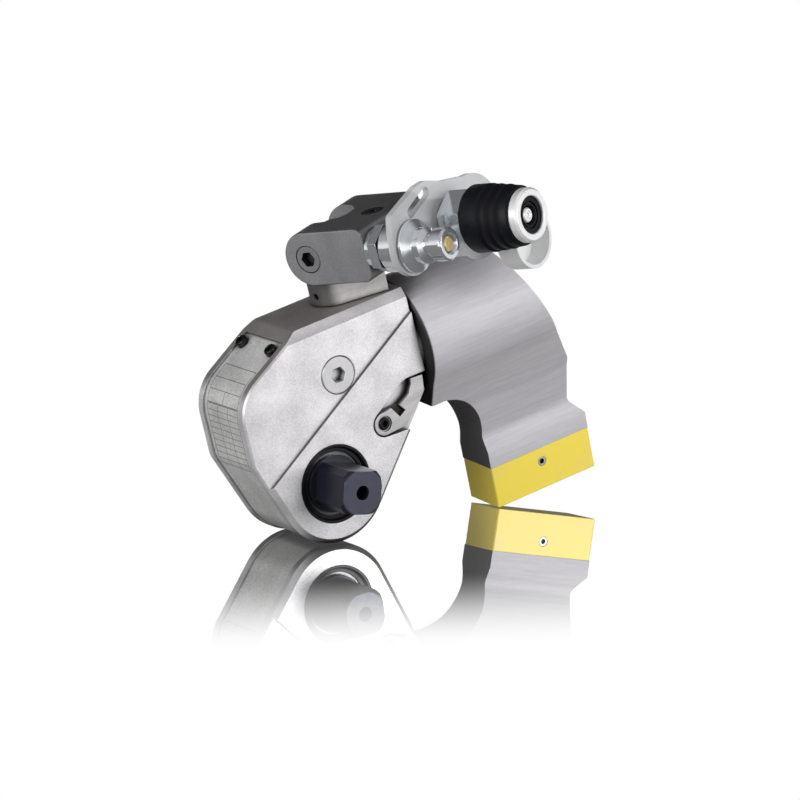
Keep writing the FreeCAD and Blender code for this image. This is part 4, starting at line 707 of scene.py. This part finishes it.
@dataclass
class Housing:
    """Body of the tool with its nose strip, plugs, bushings and the ruled fields on the nose."""

    head_top: float = 0.0526
    head_pitch: float = 0.0048
    head_rows: int = 3
    middle_top: float = 0.0430
    middle_pitch: float = 0.0058
    double_gap: float = 0.0005
    rule_top: float = 0.0368
    rule_pitch: float = 0.0028
    rule_rows: int = 11
    rule_width: float = 0.00022
    field_half: float = 0.0128
    body_columns: int = 4
    middle_columns: int = 3
    plain_columns: int = 2
    pair_rows: int = 2
    row_points: int = 9
    column_points: int = 65
    ray_start: float = -0.06
    ray_length: float = 0.2
    lift: float = 0.00003

    def ruled_tree(self) -> NodeTree:
        """Lay out rows and columns of thin rules, and lay them on the strip from in front of it.

        Returns:
            The geometry tree.
        """
        tree, given, out = new_tree("ruled_field", {
            "Rows": ("NodeSocketInt", self.rule_rows), "Columns": ("NodeSocketInt", self.body_columns),
            "Pitch": ("NodeSocketFloat", self.rule_pitch), "Rule Width": ("NodeSocketFloat", self.rule_width),
            "Half Width": ("NodeSocketFloat", self.field_half), "Top": ("NodeSocketFloat", self.rule_top),
            "Lift": ("NodeSocketFloat", self.lift), "Strip": ("NodeSocketObject", 0.0)})
        facing_nose = Euler((math.pi / 2, 0.0, -math.pi / 2))
        full = add_node(tree, "ShaderNodeMath", PRODUCT, {1: 2.0}, {0: given.outputs["Half Width"]})
        drop = add_node(tree, "ShaderNodeMath", PRODUCT, {1: -1.0}, {0: given.outputs["Pitch"]})
        row_step = add_node(tree, "ShaderNodeCombineXYZ", links={"Z": drop.outputs["Value"]})
        row_start = add_node(tree, "ShaderNodeCombineXYZ", links={"Z": given.outputs["Top"]})
        rows = add_node(tree, "GeometryNodeMeshLine", links={
            "Count": given.outputs["Rows"], "Start Location": row_start.outputs["Vector"],
            "Offset": row_step.outputs["Vector"]})
        row = add_node(tree, "GeometryNodeMeshGrid", values={"Vertices X": self.row_points, "Vertices Y": 2}, links={
            "Size X": full.outputs["Value"], "Size Y": given.outputs["Rule Width"]})
        rows_laid = add_node(tree, "GeometryNodeInstanceOnPoints", values={"Rotation": facing_nose},
                             links={"Points": rows.outputs["Mesh"], "Instance": row.outputs["Mesh"]})
        gaps = add_node(tree, "ShaderNodeMath", {"operation": "SUBTRACT"}, {1: 1.0}, {0: given.outputs["Columns"]})
        step = add_node(tree, "ShaderNodeMath", {"operation": "DIVIDE"},
                        links={0: full.outputs["Value"], 1: gaps.outputs["Value"]})
        last = add_node(tree, "ShaderNodeMath", {"operation": "SUBTRACT"}, {1: 1.0}, {0: given.outputs["Rows"]})
        height = add_node(tree, "ShaderNodeMath", PRODUCT,
                          links={0: last.outputs["Value"], 1: given.outputs["Pitch"]})
        middle = add_node(tree, "ShaderNodeMath", {"operation": "MULTIPLY_ADD"}, {1: -0.5},
                          {0: height.outputs["Value"], 2: given.outputs["Top"]})
        side = add_node(tree, "ShaderNodeMath", PRODUCT, {1: -1.0}, {0: given.outputs["Half Width"]})
        column_start = add_node(tree, "ShaderNodeCombineXYZ", links={
            "Y": side.outputs["Value"], "Z": middle.outputs["Value"]})
        column_step = add_node(tree, "ShaderNodeCombineXYZ", links={"Y": step.outputs["Value"]})
        columns = add_node(tree, "GeometryNodeMeshLine", links={
            "Count": given.outputs["Columns"], "Start Location": column_start.outputs["Vector"],
            "Offset": column_step.outputs["Vector"]})
        column = add_node(tree, "GeometryNodeMeshGrid", values={"Vertices X": 2, "Vertices Y": self.column_points},
                          links={"Size X": given.outputs["Rule Width"], "Size Y": height.outputs["Value"]})
        columns_laid = add_node(tree, "GeometryNodeInstanceOnPoints", values={"Rotation": facing_nose},
                                links={"Points": columns.outputs["Mesh"], "Instance": column.outputs["Mesh"]})
        joined = add_node(tree, "GeometryNodeJoinGeometry")
        tree.links.new(rows_laid.outputs["Instances"], joined.inputs["Geometry"])
        tree.links.new(columns_laid.outputs["Instances"], joined.inputs["Geometry"])
        real = add_node(tree, "GeometryNodeRealizeInstances", links={"Geometry": joined.outputs["Geometry"]})
        strip = add_node(tree, "GeometryNodeObjectInfo", {"transform_space": "RELATIVE"},
                         links={"Object": given.outputs["Strip"]})
        at = add_node(tree, "GeometryNodeInputPosition")
        start = add_node(tree, "ShaderNodeVectorMath", {"operation": "ADD"}, {1: (self.ray_start, 0.0, 0.0)},
                         {0: at.outputs["Position"]})
        ray = add_node(tree, "GeometryNodeRaycast",
                       values={"Ray Direction": (1.0, 0.0, 0.0), "Ray Length": self.ray_length},
                       links={"Target Geometry": strip.outputs["Geometry"],
                              "Source Position": start.outputs["Vector"]})
        raised = add_node(tree, "ShaderNodeVectorMath", TIMES, None,
                          {0: ray.outputs["Hit Normal"], "Scale": given.outputs["Lift"]})
        laid = add_node(tree, "ShaderNodeVectorMath", {"operation": "ADD"},
                        links={0: ray.outputs["Hit Position"], 1: raised.outputs["Vector"]})
        placed = add_node(tree, "GeometryNodeSetPosition", links={
            "Geometry": real.outputs["Geometry"], "Position": laid.outputs["Vector"]})
        inked = add_node(tree, "GeometryNodeSetMaterial", values={"Material": material_of(RULE_INK)},
                         links={"Geometry": placed.outputs["Geometry"]})
        tree.links.new(inked.outputs["Geometry"], out.inputs["Geometry"])
        return tree

    def build(self) -> None:
        """Dress the housing and lay the ruled fields on its nose."""
        dress("housing", HOUSING_NICKEL)
        dress("nose_shroud", SHROUD_NICKEL)
        for node in ("shroud_screws", "drive_bushing", "rear_bushing"):
            dress(node, BLACK_SCREW)
        dress("side_plug", PLUG_STEEL)
        tree = self.ruled_tree()
        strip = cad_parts["nose_shroud"]
        fields = {
            "nose_rules_head": {"Strip": strip, "Top": self.head_top, "Pitch": self.head_pitch,
                                "Rows": self.head_rows, "Columns": self.plain_columns},
            "nose_rules_middle": {"Strip": strip, "Top": self.middle_top, "Pitch": self.middle_pitch,
                                  "Rows": self.pair_rows, "Columns": self.middle_columns},
            "nose_rules_double": {"Strip": strip, "Top": self.rule_top + self.double_gap,
                                  "Pitch": self.double_gap, "Rows": self.pair_rows, "Columns": self.plain_columns},
            "nose_rules_body": {"Strip": strip, "Top": self.rule_top, "Pitch": self.rule_pitch,
                                "Rows": self.rule_rows, "Columns": self.body_columns},
        }
        for name, values in fields.items():
            rules = bake_geometry(name, tree, values)
            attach(rules, "tool")


@dataclass
class CoilSpring:
    """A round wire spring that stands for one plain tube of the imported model."""

    node: str
    body: str
    axis: Vector
    wire: float
    turns: float
    radius: float
    length: float

    def tree(self) -> NodeTree:
        """Lay out the spring: a helix swept with a round wire.

        Returns:
            The geometry tree.
        """
        tree, given, out = new_tree("coil_" + self.node, {
            "Turns": ("NodeSocketFloat", self.turns), "Radius": ("NodeSocketFloat", self.radius),
            "Length": ("NodeSocketFloat", self.length), "Wire": ("NodeSocketFloat", self.wire)})
        helix = add_node(tree, "GeometryNodeCurveSpiral", values={"Resolution": 20}, links={
            "Rotations": given.outputs["Turns"], "Start Radius": given.outputs["Radius"],
            "End Radius": given.outputs["Radius"], "Height": given.outputs["Length"]})
        ring = add_node(tree, "GeometryNodeCurvePrimitiveCircle", values={"Resolution": 8},
                        links={"Radius": given.outputs["Wire"]})
        wire = add_node(tree, "GeometryNodeCurveToMesh", values={"Fill Caps": True},
                        links={"Curve": helix.outputs["Curve"], "Profile Curve": ring.outputs["Curve"]})
        real = add_node(tree, "GeometryNodeRealizeInstances", links={"Geometry": wire.outputs["Mesh"]})
        made = add_node(tree, "GeometryNodeSetMaterial", values={"Material": material_of(INNER_STEEL)},
                        links={"Geometry": real.outputs["Geometry"]})
        tree.links.new(made.outputs["Geometry"], out.inputs["Geometry"])
        return tree

    def build(self) -> None:
        """Wind the spring and put it in the tube's place."""
        low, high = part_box(self.node)
        piece = bake_geometry(self.node + "_coil", self.tree(), {
            "Turns": self.turns, "Radius": self.radius, "Length": self.length, "Wire": self.wire})
        turn = Vector((0.0, 0.0, 1.0)).rotation_difference(self.axis).to_matrix().to_4x4()
        centre = (low + high) / 2 - self.axis * self.length / 2
        piece.data.transform(turn)
        for vertex in piece.data.vertices:
            vertex.co += centre
        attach(piece, self.body)
        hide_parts(self.node)


@dataclass
class DriveTrain:
    """Square drive, ratchet, drive plates and the piston that swings them."""

    inner: list[str] = field(default_factory=lambda: [
        "ratchet_wheel", "drive_retainer", "retainer_button", "drive_plates", "rod_pin", "drive_pawl",
        "piston", "piston_rod", "rod_gland", "cylinder_cap"])
    seals: list[str] = field(default_factory=lambda: ["piston_seal", "rod_seal"])

    def build(self) -> None:
        """Dress the drive and what turns it."""
        dress("square_drive", BLACK_OXIDE)
        for node in self.inner:
            dress(node, INNER_STEEL)
        for node in self.seals:
            dress(node, GRIP_RUBBER)
        CoilSpring("button_spring", "drive", Vector((0.0, 1.0, 0.0)), wire=0.00035, turns=2.3, radius=0.0025,
                   length=0.0018).build()


@dataclass
class ReleaseLever:
    """Bent lever in the housing's flank with its screw and pawl."""

    def build(self) -> None:
        """Dress the lever."""
        dress("release_lever", LEVER_STEEL)
        dress("lever_screw", BLACK_SCREW)
        dress("holding_pawl", INNER_STEEL)


@dataclass
class ReactionArm:
    """Curved arm with its yellow pad."""

    def build(self) -> None:
        """Dress the arm and its pad."""
        dress("reaction_arm", ARM_STEEL, smooth_angle=20.0)
        dress("reaction_pad", PAD_PAINT)
        dress("pad_screw", PLUG_STEEL)
        dress("arm_lock_screw", BLACK_SCREW)


@dataclass
class HoseSwivel:
    """Base, yoke and pin that the couplings turn and tilt on."""

    def build(self) -> None:
        """Dress the swivel."""
        dress("swivel_base", BASE_STEEL)
        dress("stem_seals", GRIP_RUBBER)
        dress("base_screw", BLACK_SCREW)
        dress("swivel_yoke", YOKE_STEEL)
        dress("pivot_pin", PIN_STEEL)
        dress("yoke_plug", BLACK_SCREW)


@dataclass
class Couplings:
    """Male plug and female sleeve coupling with their valves."""

    bright: list[str] = field(default_factory=lambda: [
        "nipple_adapter", "nipple_body", "coupler_adapter", "coupler_body"])
    satin: list[str] = field(default_factory=lambda: ["coupler_poppet", "locking_sleeve"])

    def build(self) -> None:
        """Dress the couplings and wind their springs."""
        for node in self.bright:
            dress(node, ZINC_CHROME)
        for node in self.satin:
            dress(node, SLEEVE_ZINC)
        dress("nipple_poppet", VALVE_BRASS)
        dress("sleeve_grip", GRIP_RUBBER, smooth_angle=35.0)
        dress("coupler_seal", GRIP_RUBBER)
        CoilSpring("nipple_spring", "yoke", COUPLING_AXIS, wire=0.00035, turns=5.0, radius=0.00275,
                   length=0.0045).build()
        CoilSpring("coupler_spring", "yoke", COUPLING_AXIS, wire=0.0003, turns=4.0, radius=0.0027,
                   length=0.0035).build()


@dataclass
class DustCap:
    """Plastic plate round the couplings and the round cap on it."""

    def build(self) -> None:
        """Dress the plastic."""
        dress("dust_cap_holder", PLATE_PLASTIC)
        dress("dust_cap", CAP_PLASTIC)


@dataclass
class Studio:
    """White floor with a soft mirror, studio lamps and the photograph's camera."""

    floor_level: float = -0.0272
    floor_size: float = 12.0
    camera_at: tuple[float, float, float] = (-1.32324, -2.21259, 0.591059)
    camera_turn: tuple[float, float, float] = (77.7831, 1.1629, -32.0203)
    lens: float = 270.0
    sensor: float = 36.0
    aim: Vector = field(default_factory=lambda: Vector((0.04, 0.0, 0.04)))
    view_on_floor: Vector = field(default_factory=lambda: Vector((0.53, 0.848, 0.0)))
    right_on_floor: Vector = field(default_factory=lambda: Vector((0.848, -0.53, 0.0)))
    fade_start: float = -0.07
    fade_end: float = -0.2
    mirror: float = 0.96
    floor_glow: float = 0.6
    near_glow: float = 0.12
    glow_start: float = 0.15
    glow_end: float = 0.7
    sky: float = 1.15
    sky_low: float = 0.15
    sky_high: float = 0.5
    upper_tone: str = "#A6A6A8"
    left_tone: str = "#D8D8D8"
    right_tone: str = "#FFFFFF"
    back_tone: str = "#5C5C5E"
    left_to_right: tuple[float, float] = (-0.3, 0.8)
    side_to_back: tuple[float, float] = (0.0, 0.6)

    def floor(self) -> None:
        """Lay the floor: white to the camera, with the tool's reflection in it."""
        half = self.floor_size / 2
        mesh = bpy.data.meshes.new("floor")
        mesh.from_pydata([(-half, -half, self.floor_level), (half, -half, self.floor_level),
                          (half, half, self.floor_level), (-half, half, self.floor_level)], [], [(0, 1, 2, 3)])
        floor = bpy.data.objects.new("floor", mesh)
        bpy.context.scene.collection.objects.link(floor)
        material = bpy.data.materials.new("polished_white_floor")
        material.use_nodes = True
        tree = material.node_tree
        tree.nodes.clear()
        where = add_node(tree, "ShaderNodeTexCoord")
        nearness = add_node(tree, "ShaderNodeVectorMath", DOT, {1: tuple(self.view_on_floor)},
                            {0: where.outputs["Object"]})
        fade = add_node(tree, "ShaderNodeMapRange", EASED,
                        {"From Min": self.fade_end, "From Max": self.fade_start, "To Max": self.mirror},
                        {"Value": nearness.outputs["Value"]})
        white = add_node(tree, "ShaderNodeEmission", values={"Color": WHITE, "Strength": 1.0})
        mirror = add_node(tree, "ShaderNodeBsdfGlossy", values={"Color": WHITE, "Roughness": 0.0})
        seen = add_node(tree, "ShaderNodeMixShader", links={"Fac": fade.outputs["Result"]})
        tree.links.new(white.outputs["Emission"], seen.inputs[1])
        tree.links.new(mirror.outputs["BSDF"], seen.inputs[2])
        aside = add_node(tree, "ShaderNodeVectorMath", DOT, {1: tuple(self.right_on_floor)},
                         {0: where.outputs["Object"]})
        glow_level = add_node(tree, "ShaderNodeMapRange", EASED,
                              {"From Min": self.glow_start, "From Max": self.glow_end, "To Min": self.near_glow,
                               "To Max": self.floor_glow}, {"Value": aside.outputs["Value"]})
        glow = add_node(tree, "ShaderNodeEmission", values={"Color": WHITE},
                        links={"Strength": glow_level.outputs["Result"]})
        ray = add_node(tree, "ShaderNodeLightPath")
        mixed = add_node(tree, "ShaderNodeMixShader", links={"Fac": ray.outputs["Is Camera Ray"]})
        tree.links.new(glow.outputs["Emission"], mixed.inputs[1])
        tree.links.new(seen.outputs["Shader"], mixed.inputs[2])
        add_node(tree, "ShaderNodeOutputMaterial", links={"Surface": mixed.outputs["Shader"]})
        mesh.materials.append(material)

    def world(self) -> None:
        """Light the world softly, white to the camera, with darker upper and back parts that give metal its tones."""
        world = bpy.data.worlds.new("studio")
        bpy.context.scene.world = world
        world.use_nodes = True
        tree = world.node_tree
        tree.nodes.clear()
        where = add_node(tree, "ShaderNodeTexCoord")
        parts = add_node(tree, "ShaderNodeSeparateXYZ", links={"Vector": where.outputs["Generated"]})
        height = add_node(tree, "ShaderNodeMapRange", EASED,
                          {"From Min": self.sky_low, "From Max": self.sky_high}, {"Value": parts.outputs["Z"]})
        upper_lighting_tone = add_node(tree, "ShaderNodeMix", COLOURS,
                         {"A": WHITE, "B": linear(self.upper_tone)}, {"Factor": height.outputs["Result"]})
        sideways = add_node(tree, "ShaderNodeVectorMath", DOT, {1: tuple(self.right_on_floor)},
                            {0: where.outputs["Generated"]})
        rightness = add_node(tree, "ShaderNodeMapRange", EASED,
                             {"From Min": self.left_to_right[0], "From Max": self.left_to_right[1]},
                             {"Value": sideways.outputs["Value"]})
        level = add_node(tree, "ShaderNodeMix", COLOURS,
                         {"A": linear(self.left_tone), "B": linear(self.right_tone)},
                         {"Factor": rightness.outputs["Result"]})
        front_sky = add_node(tree, "ShaderNodeVectorMath", PRODUCT, None,
                             {0: upper_lighting_tone.outputs["Result"], 1: level.outputs["Result"]})
        behind = add_node(tree, "ShaderNodeVectorMath", DOT, {1: tuple(self.view_on_floor)},
                          {0: where.outputs["Generated"]})
        farness = add_node(tree, "ShaderNodeMapRange", EASED,
                           {"From Min": self.side_to_back[0], "From Max": self.side_to_back[1]},
                           {"Value": behind.outputs["Value"]})
        depth = add_node(tree, "ShaderNodeMix", COLOURS,
                         {"A": WHITE, "B": linear(self.back_tone)}, {"Factor": farness.outputs["Result"]})
        sky = add_node(tree, "ShaderNodeVectorMath", PRODUCT, None,
                       {0: front_sky.outputs["Vector"], 1: depth.outputs["Result"]})
        even = add_node(tree, "ShaderNodeBackground", values={"Strength": self.sky},
                        links={"Color": sky.outputs["Vector"]})
        white = add_node(tree, "ShaderNodeBackground", values={"Color": WHITE, "Strength": 1.0})
        ray = add_node(tree, "ShaderNodeLightPath")
        plain = add_node(tree, "ShaderNodeMath", {"operation": "MAXIMUM"},
                         links={0: ray.outputs["Is Camera Ray"], 1: ray.outputs["Is Singular Ray"]})
        shown = add_node(tree, "ShaderNodeMixShader", links={"Fac": plain.outputs["Value"]})
        tree.links.new(even.outputs["Background"], shown.inputs[1])
        tree.links.new(white.outputs["Background"], shown.inputs[2])
        add_node(tree, "ShaderNodeOutputWorld", links={"Surface": shown.outputs["Shader"]})

    def lamp(self, name: str, at: tuple[float, float, float], size: float, power: float) -> None:
        """Hang one square lamp that looks at the tool.

        Args:
            name: the lamp's name.
            at: where it hangs.
            size: its side length.
            power: its power in watts.
        """
        data = bpy.data.lights.new(name, "AREA")
        data.shape = "SQUARE"
        data.size = size
        data.energy = power
        lamp = bpy.data.objects.new(name, data)
        lamp.location = at
        lamp.rotation_mode = "QUATERNION"
        lamp.rotation_quaternion = (self.aim - Vector(at)).to_track_quat("-Z", "Y")
        bpy.context.scene.collection.objects.link(lamp)

    def camera(self) -> None:
        """Set the camera where the photograph was taken from."""
        data = bpy.data.cameras.new("camera")
        data.lens = self.lens
        data.sensor_width = self.sensor
        data.clip_start = 0.05
        data.clip_end = 50.0
        camera = bpy.data.objects.new("camera", data)
        camera.location = self.camera_at
        camera.rotation_euler = Euler([math.radians(a) for a in self.camera_turn], "XYZ")
        bpy.context.scene.collection.objects.link(camera)
        bpy.context.scene.camera = camera

    def build(self) -> None:
        """Build the studio."""
        self.floor()
        self.world()
        self.lamp("key", (0.9, -1.5, 0.45), size=0.9, power=15.0)
        self.lamp("fill", (-1.8, -0.5, 0.4), size=1.1, power=28.0)
        self.lamp("back", (0.4, 1.6, 0.08), size=0.3, power=12.0)
        self.camera()
        bpy.context.scene.view_settings.view_transform = "Standard"


def main() -> None:
    """Build the studio, then dress each sub-assembly of the tool."""
    logging.basicConfig(level=logging.INFO, format="%(name)s: %(message)s")
    for part in (Studio(), Housing(), DriveTrain(), ReleaseLever(), ReactionArm(), HoseSwivel(), Couplings(),
                 DustCap()):
        part.build()
        LOG.info("built %s", type(part).__name__)


if __name__ == "__main__":
    main()
